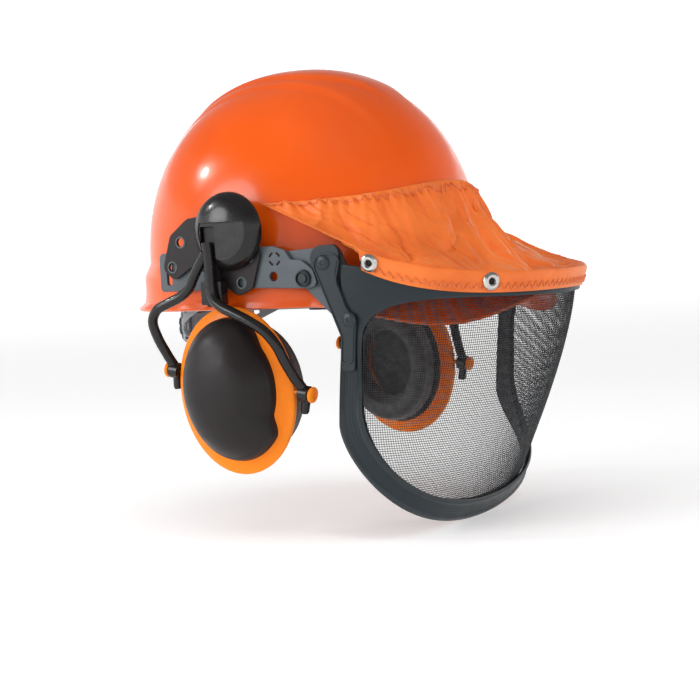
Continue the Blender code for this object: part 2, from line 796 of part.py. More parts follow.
def cover_point(angle, v):
    """A point of the cover: down from the elastic edge, out over the peak and round the visor bar."""
    middle = Vector((0.0, VISOR_CENTRE_Y, hem_level(angle)))
    outward = Vector((math.sin(angle), -math.cos(angle), 0.0))
    fold = middle + outward * FOLD_RADIUS + Vector((0.0, 0.0, HEM_HEIGHT))
    hem = middle + outward * HEM_RADIUS
    if v > 0.8:
        return fold.lerp(hem, (v - 0.8) / 0.2)
    top = elastic_edge(angle)
    control = (top + fold) / 2 + 2 * COVER_SAG * math.cos(angle)
    t = v / 0.8
    return top * (1 - t) ** 2 + control * 2 * t * (1 - t) + fold * t * t


def make_cover():
    def surface(u, v):
        return cover_point((2 * u - 1) * COVER_ANGLE, v)

    cover = sheet("rain_cover", surface, 22, 10, COVER_THICKNESS, ORANGE_NYLON)
    profile = [
        (0.0, 0.0030), (0.0040, 0.0029), (0.0062, 0.0012), (0.0022, 0.0012), (0.0022, -0.0026),
        (0.0, -0.0026),
    ]
    snaps = []
    for name, angle in SNAP_ANGLES.items():
        middle = cover_point(angle, 0.9)
        around = cover_point(angle + 0.02, 0.9) - cover_point(angle - 0.02, 0.9)
        out = around.cross(cover_point(angle, 0.8) - middle).normalized()
        snaps.append(turned(f"cover_snap_{name}_left", profile, facing(middle, out), STEEL, 14))
        for side in (1, -1):
            start, end = middle - out * 0.004, middle + out * 0.004
            start.x *= side
            end.x *= side
            boolean(cover, "DIFFERENCE", cylinder(f"snap_bore_{name}_{side}", start, end, 0.0027, STEEL, 12))
    return snaps


# ---- ear muffs ----


def make_bracket():
    """The plate on the carrier, the cap that swings on it and the pin between them."""
    outline = [
        (0.027, 0.064, 0.007), (0.042, 0.053, 0.006), (0.0495, 0.030, 0.006), (0.040, 0.0215, 0.006),
        (0.024, 0.031, 0.006), (0.004, 0.0215, 0.006), (-0.013, 0.0095, 0.006),
        (-0.025, 0.014, 0.006), (-0.033, 0.038, 0.006), (-0.024, 0.056, 0.007), (-0.009, 0.068, 0.010),
    ]
    holes = [(0.033, 0.048, 0.0030), (0.041, 0.031, 0.0030), (-0.023, 0.036, 0.0030)]
    holes += [(-0.0165, 0.0185, 0.0030), (*SWING_AXIS, 0.0033)]
    bracket = plate("bracket_plate_left", outline, BRACKET_FACES, BLACK, holes)
    out = facing((0.0, *SWING_AXIS), (1, 0, 0))
    profile = [
        (0.0, 0.1290), (0.0100, 0.1286), (0.0190, 0.1268), (0.0245, 0.1235), (0.0268, 0.1195),
        (0.0268, 0.1176), (0.0034, 0.1176), (0.0034, 0.1246), (0.0, 0.1246),
    ]
    cap = turned("pivot_cap_left", profile, out, BLACK, 24)
    x, z = FLIP_AXIS
    slot = box("arm_slot_left", (0.1189, ARM_Y - 0.0056, 0.020), (0.1330, ARM_Y + 0.0056, z + 0.0034), BLACK)
    boolean(cap, "DIFFERENCE", slot)
    flip_bore = cylinder("flip_bore_left", (x, -0.011, z), (x, 0.040, z), 0.0015, BLACK, 12)
    boolean(cap, "DIFFERENCE", flip_bore)
    profile = [
        (0.0, 0.1240), (0.0030, 0.1240), (0.0030, 0.1148), (0.0060, 0.1148), (0.0060, 0.1128), (0.0, 0.1128),
    ]
    swing_pin = turned("swing_pin_left", profile, out, STEEL, 12)
    flip_pin = cylinder("flip_pin_left", (x, -0.010, z), (x, 0.012, z), 0.0012, STEEL, 12)
    return {"fixed": [bracket, swing_pin], "swing": [cap, flip_pin], "flip_bore": flip_bore}


def make_swing_arm(flip_bore):
    x, top = FLIP_AXIS
    arm = box("swing_arm_left", (x - 0.002, ARM_Y - 0.005, ARM_END_Z), (x + 0.002, ARM_Y + 0.005, top), BLACK)
    knuckle = cylinder("knuckle_left", (x, ARM_Y - 0.00505, top), (x, ARM_Y + 0.00505, top), 0.0028, BLACK)
    boolean(arm, "UNION", knuckle)
    boolean(arm, "DIFFERENCE", flip_bore)
    return arm


def make_yoke(pin_bore):
    """The two-strand yoke that slides on the arm and carries the cup between its eyes."""
    low, high = HUB_LEVELS
    yoke = box("yoke_left", (0.1176, ARM_Y - 0.0084, low), (0.1264, ARM_Y + 0.0084, high), BLACK)
    front = [
        (0.1220, -0.0062, 0.0160), (0.1230, -0.0066, 0.0080), (0.1260, -0.0115, 0.0010),
        (0.1285, -0.0245, -0.0050), (0.1270, -0.0385, -0.0150), (0.1250, -0.0495, -0.0270),
        (0.1205, -0.0580, -0.0410), FRONT_EYE, (0.1145, -0.0600, -0.0705),
    ]
    rear = [
        (0.1220, 0.0120, 0.0165), (0.1235, 0.0190, 0.0115), (0.1255, 0.0310, 0.0070),
        (0.1265, 0.0450, 0.0020), (0.1245, 0.0545, -0.0080), (0.1180, 0.0470, -0.0280), REAR_EYE,
        (0.1150, 0.0440, -0.0540),
    ]
    along = (REAR_EYE - FRONT_EYE).normalized()
    for name, route, eye in (("front", front, FRONT_EYE), ("rear", rear, REAR_EYE)):
        boolean(yoke, "UNION", tube(f"strand_{name}_left", route, STRAND_RADIUS, BLACK))
        half = along * EYE_HALF_LENGTH
        boolean(yoke, "UNION", cylinder(f"eye_{name}_left", eye - half, eye + half, 0.0056, BLACK, 16))
    passage = box(
        "arm_passage_left", (0.1197, ARM_Y - 0.0053, low - 0.02), (0.1243, ARM_Y + 0.0053, high + 0.02), BLACK
    )
    boolean(yoke, "DIFFERENCE", passage)
    boolean(yoke, "DIFFERENCE", pin_bore)
    return yoke


def make_cup(pin_bore):
    """The cup, its cover, its cushion with the plate that holds it, the liner and the pivot buttons."""
    out = (
        Matrix.Translation(CUP_CENTRE)
        @ Matrix.Rotation(CUP_LEAN, 4, "X")
        @ Matrix.Rotation(math.pi / 2, 4, "Y")
    )
    cover_place = Matrix.Translation(COVER_SHIFT) @ out
    cup_profile = [
        (0.0, 0.1372), (0.0260, 0.1345), (0.0410, 0.1250), (0.0445, 0.1182), (0.0570, 0.1176),
        (0.0580, 0.1150), (0.0570, 0.1123), (0.0480, 0.1118), (0.0480, 0.1072), (0.0420, 0.1072),
        (0.0415, 0.1180), (0.0385, 0.1225), (0.0240, 0.1312), (0.0, 0.1339),
    ]
    cup = turned("cup_left", cup_profile, out, ORANGE_CUP, 22, CUP_SLIMNESS)
    boolean(cup, "DIFFERENCE", pin_bore)
    cover_profile = [
        (0.0, 0.1450), (0.0140, 0.1446), (0.0270, 0.1426), (0.0400, 0.1364), (0.0475, 0.1270),
        (0.0495, 0.1187), (0.0482, 0.1187), (0.0462, 0.1258), (0.0300, 0.1372), (0.0, 0.1402),
    ]
    plate_profile = [(0.0480, 0.1068), (0.0480, 0.1045), (0.0340, 0.1045), (0.0340, 0.1068)]
    cushion_profile = [
        (0.0440, 0.1041), (0.0470, 0.1000), (0.0465, 0.0900), (0.0420, 0.0825), (0.0330, 0.0825),
        (0.0265, 0.0890), (0.0258, 0.1000), (0.0280, 0.1041),
    ]
    liner_profile = [(0.0, 0.1230), (0.0360, 0.1230), (0.0360, 0.1165), (0.0, 0.1165)]
    pieces = [
        cup,
        turned("cup_cover_left", cover_profile, cover_place, BLACK, 22, CUP_SLIMNESS),
        turned("cushion_plate_left", plate_profile, out, BLACK, 20, CUP_SLIMNESS),
        turned("cushion_left", cushion_profile, out, CUSHION, 18, CUP_SLIMNESS),
        turned("cup_liner_left", liner_profile, out, FOAM, 18, CUP_SLIMNESS),
    ]
    along = (REAR_EYE - FRONT_EYE).normalized()
    button_profile = [
        (0.0, 0.0078), (0.0042, 0.0076), (0.0056, 0.0066), (0.0047, 0.0047), (0.0013, 0.0047),
        (0.0013, -0.0115), (0.0, -0.0115),
    ]
    for name, eye, direction in (("front", FRONT_EYE, -along), ("rear", REAR_EYE, along)):
        name = f"pivot_button_{name}_left"
        pieces.append(turned(name, button_profile, facing(eye, direction), ORANGE_CUP, 12))
    return pieces


def muff_pivots(side, sign):
    """The chain of joint empties of one muff, from the swing on the bracket to the cup."""
    swing = new_pivot(f"muff_swing_{side}", (sign * FLIP_AXIS[0], *SWING_AXIS))
    flip = new_pivot(f"muff_flip_{side}", (sign * FLIP_AXIS[0], ARM_Y, FLIP_AXIS[1]), swing)
    slide = new_pivot(f"muff_height_{side}", (sign * FLIP_AXIS[0], ARM_Y, HUB_LEVELS[1]), flip)
    eyes = (FRONT_EYE + REAR_EYE) / 2
    tilt = new_pivot(f"cup_tilt_{side}", (sign * eyes.x, eyes.y, eyes.z), slide)
    return {"swing": swing, "flip": flip, "slide": slide, "tilt": tilt}


def make_muffs():
    along = (REAR_EYE - FRONT_EYE).normalized()
    pin_bore = cylinder("pin_bore_left", FRONT_EYE - along * 0.01, REAR_EYE + along * 0.01, 0.0016, BLACK, 12)
    bracket = make_bracket()
    groups = {
        "fixed": bracket["fixed"],
        "swing": bracket["swing"],
        "flip": [make_swing_arm(bracket["flip_bore"])],
        "slide": [make_yoke(pin_bore)],
        "tilt": make_cup(pin_bore),
    }
    copies = {key: [mirrored(piece) for piece in pieces] for key, pieces in groups.items()}
    for side, sign, pieces in (("left", 1, groups), ("right", -1, copies)):
        pivots = muff_pivots(side, sign)
        for key, pivot in pivots.items():
            carry(pieces[key], pivot)


# ---- the whole hat ----


def main():
    shell = make_shell()
    add_key_pockets(shell)
    add_carrier_slots(shell)
    make_headband()
    make_anchor_keys()
    make_crown_straps()
    make_nape()
    for piece in make_carrier():
        mirrored(piece)
    hung = [make_visor_frame(), make_visor_clamp(), make_visor_mesh()]
    paired = make_visor_arm() + make_cover()
    hung += paired + [mirrored(piece) for piece in paired]
    carry(hung, new_pivot("visor_tilt", (0.0, *VISOR_PIVOT)))
    make_muffs()


main()
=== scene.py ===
"""Looks of the hard hat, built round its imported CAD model.

Metres, +Z up, in the CAD's own frame: the front is -Y and the wearer's left is +X. Pieces
that come in pairs are built on the left and mirrored to the right.
"""

import math

import bmesh
import bpy
import numpy as np
from mathutils import Matrix, Vector, noise


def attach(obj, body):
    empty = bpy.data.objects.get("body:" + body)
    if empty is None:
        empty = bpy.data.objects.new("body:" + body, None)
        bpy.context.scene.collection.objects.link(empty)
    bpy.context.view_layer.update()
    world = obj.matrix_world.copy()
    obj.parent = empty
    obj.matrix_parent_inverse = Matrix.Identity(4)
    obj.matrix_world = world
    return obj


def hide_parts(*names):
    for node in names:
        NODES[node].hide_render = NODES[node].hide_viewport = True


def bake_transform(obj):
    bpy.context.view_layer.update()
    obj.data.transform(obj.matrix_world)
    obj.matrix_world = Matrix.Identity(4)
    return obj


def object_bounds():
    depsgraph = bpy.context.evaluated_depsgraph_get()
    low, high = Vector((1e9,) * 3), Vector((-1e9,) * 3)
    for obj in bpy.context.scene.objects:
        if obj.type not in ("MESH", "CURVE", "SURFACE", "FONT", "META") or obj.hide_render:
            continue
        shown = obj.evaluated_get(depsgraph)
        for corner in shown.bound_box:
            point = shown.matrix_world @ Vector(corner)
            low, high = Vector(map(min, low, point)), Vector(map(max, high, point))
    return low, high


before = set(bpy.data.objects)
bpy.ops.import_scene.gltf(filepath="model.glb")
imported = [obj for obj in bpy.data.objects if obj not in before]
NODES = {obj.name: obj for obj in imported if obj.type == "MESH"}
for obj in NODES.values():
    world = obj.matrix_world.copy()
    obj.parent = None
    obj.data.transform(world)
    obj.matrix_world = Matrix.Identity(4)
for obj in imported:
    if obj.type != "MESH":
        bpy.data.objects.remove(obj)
CAD_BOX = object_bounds()

# Shell: the same dome, rim and peak as the CAD's.
DOME_HALF_WIDTH = 0.1068
DOME_HALF_LENGTH = 0.1231
DOME_HEIGHT = 0.1312
DOME_CENTRE_Y = -0.0017
DOME_WIDEST_Z = 0.0333
DOME_ROUNDNESS = 2.2
SHELL_WALL = 0.0026
SKIRT_STEP = 0.0030
BAND_HALF_WIDTH = 0.046
BAND_REACH = 0.116
BAND_RISE = 0.0022
RIDGE_REACH = 0.088
RIDGE_RISE = 0.0026
PEAK_HALF_WIDTH = 0.105
PEAK_LENGTH = 0.127
PEAK_CENTRE_Y = -0.060
PEAK_ROOT_Z = 0.020
PEAK_ARCH = 0.015
PEAK_FROM_ANGLE = math.radians(82)
PEAK_FULL_ANGLE = math.radians(46)
# Down the rim: reach along the peak, level, and how far it stands out at the sides and the rear.
RIM_REACH = (0.0, 0.10, 0.28, 0.52, 0.78, 1.00)
RIM_LEVEL = (0.0245, 0.0225, 0.0170, 0.0110, 0.0045, 0.0000)
RIM_SIDE = (0.0029, 0.0030, 0.0031, 0.0032, 0.0035, 0.0046)
RIM_REAR = (0.0040, 0.0044, 0.0045, 0.0046, 0.0052, 0.0105)
KEY_ANGLES = (math.radians(47), math.radians(133))
POCKET_LEVELS = (0.010, 0.022)

# Head harness.
HEADBAND_HALF_WIDTH = 0.081
HEADBAND_HALF_LENGTH = 0.099
HEADBAND_CENTRE_Y = -0.002
HEADBAND_ROUNDNESS = 2.4
HEADBAND_LEVELS = (-0.002, 0.028)
STRAP_REACH = 0.0956
STRAP_FOOT_Z = 0.030
STRAP_HALF_WIDTH = 0.010
STRAP_POWER = 0.87
PAD_ANGLE = math.radians(66)
BAND_PLEATS = 26
NAPE_Z = -0.016
KNOB_BASE_Y = 0.1047
KNOB_FACE_RADIUS = 0.0135
KNOB_SCALLOPS = 12

# Visor.
VISOR_HALF_WIDTH = 0.1158
VISOR_CENTRE_Y = -0.086
VISOR_TOP_Z = 0.010
VISOR_DROP = 0.165
VISOR_LEG_Z = -0.078
VISOR_BOTTOM_DEPTH = 0.0765
VISOR_TOP_ANGLE = math.radians(85.5)
VISOR_WINDOW_ANGLE = math.radians(80)
VISOR_PIVOT = (-0.065, 0.020)
RIVETS = {"upper": (-0.083, 0.030), "lower": (-0.101, -0.008)}
LOOP_COLUMNS = (120, 28, 132, 28)
FRAME_ROWS = 20
FRAME_RIB = 0.0011
WIRE_PITCH = 0.0016
WIRE_RADIUS = 0.00024
WIRE_DEPTH = -0.0022
WIRE_WAVE = 0.00024

# Flat plates at each side, as distances from the middle plane.
ARM_FACES = (0.1084, 0.1114)
CARRIER_FACES = (0.1117, 0.1147)
SHOULDER_FACES = (0.1150, 0.1184)
BRACKET_FACES = (0.1151, 0.1171)

# Fabric cover.
COVER_ANGLE = math.radians(78)
COVER_THICKNESS = 0.0005
HEM_RADIUS = 0.1183
FOLD_RADIUS = 0.1235
HEM_HEIGHT = 0.015
COVER_SAG = Vector((0.0, 0.006, -0.022))
# Down the cover, the fold over the visor bar lies at this share, and the rest is the hem.
FOLD_SHARE = 0.8
HEM_SHARE = 0.2
FOLD_SPAN = 0.06
# Pleats below the elastic: their number, height and the share of the depth that they reach.
FINE_PLEATS = (44, 0.0012, 0.22)
WIDE_PLEATS = (13, 0.0015, 0.50)
SLACK_HEIGHT = 0.0024
# Creases: where in the noise they come from, their slant, their number and their height.
CREASES = ((1.3, 0.45, 11, 0.0032), (4.7, -0.60, 19, 0.0018))
COVER_COLUMNS = 300
COVER_ROWS = 76
SNAP_ANGLES = {"front": math.radians(37), "side": math.radians(75)}

# Ear muffs.
SWING_AXIS = (-0.009, 0.054)
ARM_Y = 0.003
FLIP_AXIS = (0.122, 0.060)
CAP_LEDGE_Z = 0.0605
HUB_LEVELS = (0.0045, 0.0205)
CUP_CENTRE = Vector((0.0, -0.0065, -0.0550))
COVER_SHIFT = Vector((0.0, -0.0020, 0.0015))
CUP_SLIMNESS = 0.8136
CUP_LEAN = math.radians(-8)
LID_WAIST = 0.15
SEAT_PLATE_X = 0.1020
FRONT_EYE = Vector((0.115, -0.0615, -0.057))
REAR_EYE = Vector((0.115, 0.0445, -0.041))
STRAND_RADIUS = 0.0036

# The photograph's view.
VIEW_AZIMUTH = math.radians(-58.7)
VIEW_ELEVATION = math.radians(3.9)
VIEW_ROLL = math.radians(3.0)
VIEW_DISTANCE = 1.25
VIEW_TARGET = Vector((0.0, -0.0284, -0.0372))
VIEW_LENS = 87.4
LAMP_TARGET = Vector((0.0, -0.03, 0.02))

MIRROR = Matrix.Scale(-1, 4, (1, 0, 0))


# ---- small mathematics ----


def soft_step(value):
    value = min(1.0, max(0.0, value))
    return value * value * (3 - 2 * value)


def bump(value, centre, half_width):
    """1 at centre, falling smoothly to 0 half_width away."""
    return soft_step(1 - abs(value - centre) / half_width)


def superellipse(angle, half_width, half_length, roundness):
    """A point at this angle from the front, on a rounded outline about the Z axis."""
    side, front = math.sin(angle), -math.cos(angle)
    reach = (abs(side) ** roundness + abs(front) ** roundness) ** (-1 / roundness)
    return Vector((half_width * side * reach, half_length * front * reach, 0.0))


def smooth_route(points, steps=8):
    """Points on a smooth curve through the given ones."""
    points = [Vector(point) for point in points]
    padded = [2 * points[0] - points[1]] + points + [2 * points[-1] - points[-2]]
    route = []
    for i in range(len(points) - 1):
        before, start, end, after = padded[i : i + 4]
        for step in range(steps):
            t = step / steps
            bend = (2 * before - 5 * start + 4 * end - after) * t * t
            twist = (3 * start - before - 3 * end + after) * t ** 3
            route.append((2 * start + (end - before) * t + bend + twist) / 2)
    return route + [points[-1]]


def turns(count):
    """Angles all round, at equal steps."""
    return [2 * math.pi * i / count for i in range(count)]


def round_vector(angle):
    return Vector((math.cos(angle), math.sin(angle)))


def facing(point, direction):
    """The place of a piece whose own Z axis points along direction."""
    return Matrix.Translation(point) @ Vector(direction).to_track_quat("Z", "Y").to_matrix().to_4x4()


def outward(y, z, x=0.0):
    """The place of a turned piece on the left that points away from the middle plane."""
    return facing((x, y, z), (1, 0, 0))


# ---- materials ----


def map_range(tree, output, low, high, start=0.0, end=1.0):
    """A node's value mapped from start..end to low..high."""
    node = tree.nodes.new("ShaderNodeMapRange")
    for socket, value in (("From Min", start), ("From Max", end), ("To Min", low), ("To Max", high)):
        node.inputs[socket].default_value = value
    tree.links.new(output, node.inputs["Value"])
    return node.outputs["Result"]


class Finish:
    """A material whose Principled shader is reached by short calls."""

    def __init__(self, name, **sockets):
        self.material = bpy.data.materials.new(name)
        self.material.use_nodes = True
        self.nodes = self.material.node_tree.nodes
        self.links = self.material.node_tree.links
        self.shader = self.nodes["Principled BSDF"]
        self.coordinates = self.nodes.new("ShaderNodeTexCoord").outputs["Object"]
        self.last_normal = None
        for socket, value in sockets.items():
            self.shader.inputs[socket.replace("_", " ")].default_value = value

    def texture(self, kind, scale, detail=2.0, stretch=None):
        """A texture's node in the object's own metres. The stretch scales its axes."""
        node = self.nodes.new(kind)
        node.inputs["Scale"].default_value = scale
        if "Detail" in node.inputs:
            node.inputs["Detail"].default_value = detail
        source = self.coordinates
        if stretch:
            mapping = self.nodes.new("ShaderNodeMapping")
            mapping.inputs["Scale"].default_value = stretch
            self.links.new(source, mapping.inputs["Vector"])
            source = mapping.outputs["Vector"]
        self.links.new(source, node.inputs["Vector"])
        return node

    def ranged(self, output, low, high, start=0.0, end=1.0):
        return map_range(self.material.node_tree, output, low, high, start, end)

    def mixed(self, factor, dark, light):
        """A colour between two, by a value or an output."""
        node = self.nodes.new("ShaderNodeMix")
        node.data_type = "RGBA"
        for socket, value in ((node.inputs[6], dark), (node.inputs[7], light)):
            if isinstance(value, tuple):
                socket.default_value = (*value, 1.0)
            else:
                self.links.new(value, socket)
        self.links.new(factor, node.inputs[0])
        return node.outputs[2]

    def noise(self, scale, detail=2, stretch=None):
        """A cloudy value."""
        return self.texture("ShaderNodeTexNoise", scale, detail, stretch).outputs["Fac"]

    def between(self, output, dark, light, start=0.35, end=0.65):
        """A colour that goes from dark to light as the value goes from start to end."""
        return self.mixed(self.ranged(output, 0, 1, start, end), dark, light)

    def colour(self, output):
        self.links.new(output, self.shader.inputs["Base Color"])

    def roughness(self, output, low, high):
        self.links.new(self.ranged(output, low, high, 0.3, 0.7), self.shader.inputs["Roughness"])

    def bumped(self, output, depth, strength=1.0):
        """Adds relief of this depth in metres. Later calls add to earlier ones."""
        node = self.nodes.new("ShaderNodeBump")
        node.inputs["Strength"].default_value = strength
        node.inputs["Distance"].default_value = depth
        self.links.new(output, node.inputs["Height"])
        if self.last_normal:
            self.links.new(self.last_normal, node.inputs["Normal"])
        self.last_normal = node.outputs["Normal"]
        self.links.new(self.last_normal, self.shader.inputs["Normal"])

    def worn_edges(self, base, worn, share):
        """The base colour, turning to the worn one along sharp outer edges."""
        geometry = self.nodes.new("ShaderNodeNewGeometry")
        edge = self.ranged(geometry.outputs["Pointiness"], 0.0, share, 0.505, 0.56)
        return self.mixed(edge, base, worn)


def times(colour, factor, offset=0.0):
    return tuple(min(1.0, channel * factor + offset) for channel in colour)


def moulded(
    name, colour, roughness, grain=0.00004, grain_scale=1500, variation=0.10, worn=0.25, coat=0.0, shine=0.4
):
    """Moulded plastic: a fine grain, cloudy gloss, faint colour drift and paler edges."""
    made = Finish(name, Coat_Weight=coat, Coat_Roughness=0.12, Specular_IOR_Level=shine)
    darker, lighter = times(colour, 1 - variation), times(colour, 1 + variation)
    base = made.between(made.noise(14, 3), darker, lighter)
    made.colour(made.worn_edges(base, times(colour, 1.5, 0.03), worn))
    made.roughness(made.noise(55, 4, (1.0, 1.0, 2.2)), roughness - 0.06, roughness + 0.08)
    made.bumped(made.noise(grain_scale), grain)
    return made.material


def shell_plastic():
    """Glossy polyethylene with a faint ripple, hairline scratches and a little dust."""
    made = Finish("shell_plastic", Coat_Weight=0.15, Coat_Roughness=0.05, Specular_IOR_Level=0.28)
    base = made.between(made.noise(9, 3), (0.70, 0.082, 0.003), (0.78, 0.096, 0.004))
    made.colour(made.worn_edges(base, (0.97, 0.24, 0.07), 0.35))
    made.roughness(made.noise(38, 5, (1.0, 1.0, 1.8)), 0.17, 0.27)
    made.bumped(made.noise(26, 1), 0.00035, 0.35)
    made.bumped(made.noise(900), 0.00002, 0.5)
    scratches = made.texture("ShaderNodeTexVoronoi", 60, stretch=(1.0, 7.0, 1.0))
    scratches.feature = "DISTANCE_TO_EDGE"
    made.bumped(made.ranged(scratches.outputs["Distance"], 1, 0, 0.0, 0.01), 0.00002, 0.25)
    return made.material


def weave_height(finish, pitch):
    """A plain weave read from the mesh's UVs, which are in metres."""

    def compute(operation, first, second=None):
        node = finish.nodes.new("ShaderNodeMath")
        node.operation = operation
        finish.links.new(first, node.inputs[0])
        if isinstance(second, float):
            node.inputs[1].default_value = second
        elif second:
            finish.links.new(second, node.inputs[1])
        return node.outputs[0]

    uv = finish.nodes.new("ShaderNodeTexCoord").outputs["UV"]
    split = finish.nodes.new("ShaderNodeSeparateXYZ")
    finish.links.new(uv, split.inputs["Vector"])
    waves = [compute("SINE", compute("MULTIPLY", split.outputs[axis], 2 * math.pi / pitch)) for axis in "XY"]
    return finish.ranged(compute("MULTIPLY", *waves), 0, 1, -1, 1)


def nylon():
    """Thin coated nylon: a fine weave, small creases and a soft sheen, with painted highlights on the weave
    crests and painted light and shade in cloudy patches of its colour.
    """
    made = Finish("orange_nylon", Sheen_Weight=0.30, Sheen_Roughness=0.40, Specular_IOR_Level=0.4)
    made.shader.inputs["Sheen Tint"].default_value = (1.0, 0.60, 0.28, 1.0)
    weave = weave_height(made, 0.0009)
    # Cloudy lighter and darker patches of colour: painted sheen and painted shade that stand for the light on
    # crumpled cloth. The same noise also varies the roughness.
    drift = made.noise(22, 4)
    base = made.between(drift, (0.70, 0.118, 0.008), (0.90, 0.190, 0.024))
    # The weave's crests are mixed towards a paler orange: a painted highlight.
    made.colour(made.mixed(made.ranged(weave, 0, 0.12), base, (0.95, 0.30, 0.06)))
    made.roughness(drift, 0.32, 0.48)
    made.bumped(made.noise(75, 3, (1.0, 1.0, 0.5)), 0.0016, 0.6)
    made.bumped(weave, 0.00008, 0.6)
    return made.material


def thread(name, colour):
    """Twisted sewing thread, painted a little darker in the grooves of its twist as shade."""
    made = Finish(name, Roughness=0.6, Sheen_Weight=0.4)
    fibre = made.texture("ShaderNodeTexWave", 900).outputs["Fac"]
    # A fifth darker where the twist's relief is low: painted shade in the grooves.
    made.colour(made.mixed(fibre, times(colour, 0.8), colour))
    made.bumped(fibre, 0.00008)
    return made.material


def webbing():
    """Woven polyester tape with a coarse weave, painted paler on the crests and darker in the hollows as
    light and shade.
    """
    made = Finish("charcoal_webbing", Roughness=0.85, Sheen_Weight=0.3)
    weave = weave_height(made, 0.0024)
    # Dark in the weave's hollows and pale on its crests: painted shade and painted highlight that follow the
    # relief.
    base = made.mixed(weave, (0.045, 0.046, 0.050), (0.16, 0.16, 0.17))
    made.colour(made.mixed(made.ranged(made.noise(300, 3), 0, 0.4), base, (0.09, 0.09, 0.10)))
    made.bumped(weave, 0.0003)
    return made.material


def vinyl():
    """Soft vinyl skin with a leather grain."""
    made = Finish("cushion_vinyl", Sheen_Weight=0.15, Specular_IOR_Level=0.45)
    grain = made.texture("ShaderNodeTexVoronoi", 900)
    grain.feature = "SMOOTH_F1"
    drift = made.noise(60, 3)
    made.colour(made.between(drift, (0.012, 0.012, 0.013), (0.030, 0.029, 0.029), 0.3, 0.7))
    made.roughness(drift, 0.42, 0.58)
    made.bumped(grain.outputs["Distance"], 0.00025, 0.6)
    made.bumped(drift, 0.0006, 0.3)
    return made.material


def foam():
    """Open-cell foam with pores, painted darker in the pores as shade."""
    made = Finish("charcoal_foam", Roughness=0.95, Sheen_Weight=0.2)
    pores = made.texture("ShaderNodeTexVoronoi", 1100).outputs["Distance"]
    # Darker where the pores sink in: painted shade.
    made.colour(made.between(pores, (0.010, 0.010, 0.011), (0.060, 0.060, 0.063), 0.1, 0.5))
    made.bumped(pores, 0.0006, 0.9)
    return made.material


def bare_metal(name, colour, roughness):
    """Plated steel with fine brushing and dull patches."""
    made = Finish(name, Metallic=1.0)
    drift = made.noise(180, 4)
    made.colour(made.between(drift, times(colour, 0.75), colour, 0.3, 0.7))
    made.roughness(drift, roughness - 0.08, roughness + 0.12)
    made.bumped(made.noise(700, 2, (1.0, 1.0, 9.0)), 0.00003, 0.5)
    return made.material


def painted_wire():
    """Black-coated wire with paler patches."""
    made = Finish("mesh_wire", Metallic=0.55, Roughness=0.42)
    made.colour(made.between(made.noise(240, 3), (0.026, 0.029, 0.032), (0.085, 0.094, 0.100), 0.35, 0.7))
    return made.material


# Each finish is a material and the record's slot that it stands for.
SHELL_PLASTIC = (shell_plastic(), "orange_shell")
NYLON = (nylon(), "orange_nylon")
ORANGE_THREAD = (thread("orange_thread", (0.90, 0.200, 0.026)), "orange_nylon")
CUP_PLASTIC = (
    moulded("cup_plastic", (0.93, 0.215, 0.003), 0.34, grain=0.00003, variation=0.06, shine=0.22),
    "orange_cup",
)
FRAME_PLASTIC = (
    moulded("frame_plastic", (0.013, 0.020, 0.025), 0.36, grain_scale=1100, shine=0.30),
    "dark_frame",
)
SLATE_PLASTIC = (moulded("slate_plastic", (0.074, 0.089, 0.101), 0.42, shine=0.35), "slate_carrier")
BLACK_PLASTIC = (
    moulded("black_plastic_satin", (0.013, 0.0098, 0.0102), 0.40, grain=0.00006, worn=0.1, shine=0.24),
    "black_plastic",
)
GLOSS_PLASTIC = (
    moulded("black_plastic_gloss", (0.008, 0.0068, 0.0070), 0.25, grain=0.00002, worn=0, coat=0.2, shine=0.3),
    "black_plastic",
)
# The rims are black plastic, drawn in the paler slate material as a painted highlight.
RIM_HIGHLIGHT_PLASTIC = (SLATE_PLASTIC[0], "black_plastic")
HARNESS_PLASTIC = (moulded("harness_plastic", (0.27, 0.31, 0.335), 0.48), "harness_grey")
STEEL = (bare_metal("nickel_plate", (0.66, 0.65, 0.62), 0.26), "steel")
WIRE = (painted_wire(), "black_wire")
WEBBING = (webbing(), "webbing")
VINYL = (vinyl(), "cushion_skin")
FOAM = (foam(), "foam")


# ---- pieces ----


def setup(thing, **values):
    """Sets several of a thing's properties, and returns it."""
    for name, value in values.items():
        setattr(thing, name, value)
    return thing


def placed(name, data):
    """A new object in the scene."""
    made = bpy.data.objects.new(name, data)
    bpy.context.scene.collection.objects.link(made)
    return made


def shade_smooth(mesh):
    mesh.polygons.foreach_set("use_smooth", [True] * len(mesh.polygons))


def applied(piece):
    """The mesh of a piece with its modifiers applied, and without UVs, which nothing here reads."""
    bpy.context.view_layer.update()
    graph = bpy.context.evaluated_depsgraph_get()
    mesh = bpy.data.meshes.new_from_object(piece.evaluated_get(graph))
    while mesh.uv_layers:
        mesh.uv_layers.remove(mesh.uv_layers[0])
    return mesh


def new_piece(name, mesh, finish, body, *nodes):
    """A shown piece with its finish, on its CAD body. It stands for these CAD nodes."""
    material, slot = finish
    mesh.materials.clear()
    mesh.materials.append(material)
    shade_smooth(mesh)
    made = placed(name, mesh)
    if body:
        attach(made, body)
    if nodes:
        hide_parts(*nodes)
    return made


def new_pair(name, mesh, finish, body, node=None, edges=True):
    """The left piece and its mirror image, with their sharp edges kept sharp if edges is set.

    {} in a body's name takes the side.
    """
    mirrored = mesh.copy()
    mirrored.transform(MIRROR)
    mirrored.flip_normals()
    pair = []
    for side, shape in (("left", mesh), ("right", mirrored)):
        nodes = [f"{node}_{side}"] if node else []
        pair.append(new_piece(f"{name}_{side}", shape, finish, body.format(side), *nodes))
        if edges:
            add_edge_smoothing(pair[-1])
    return pair


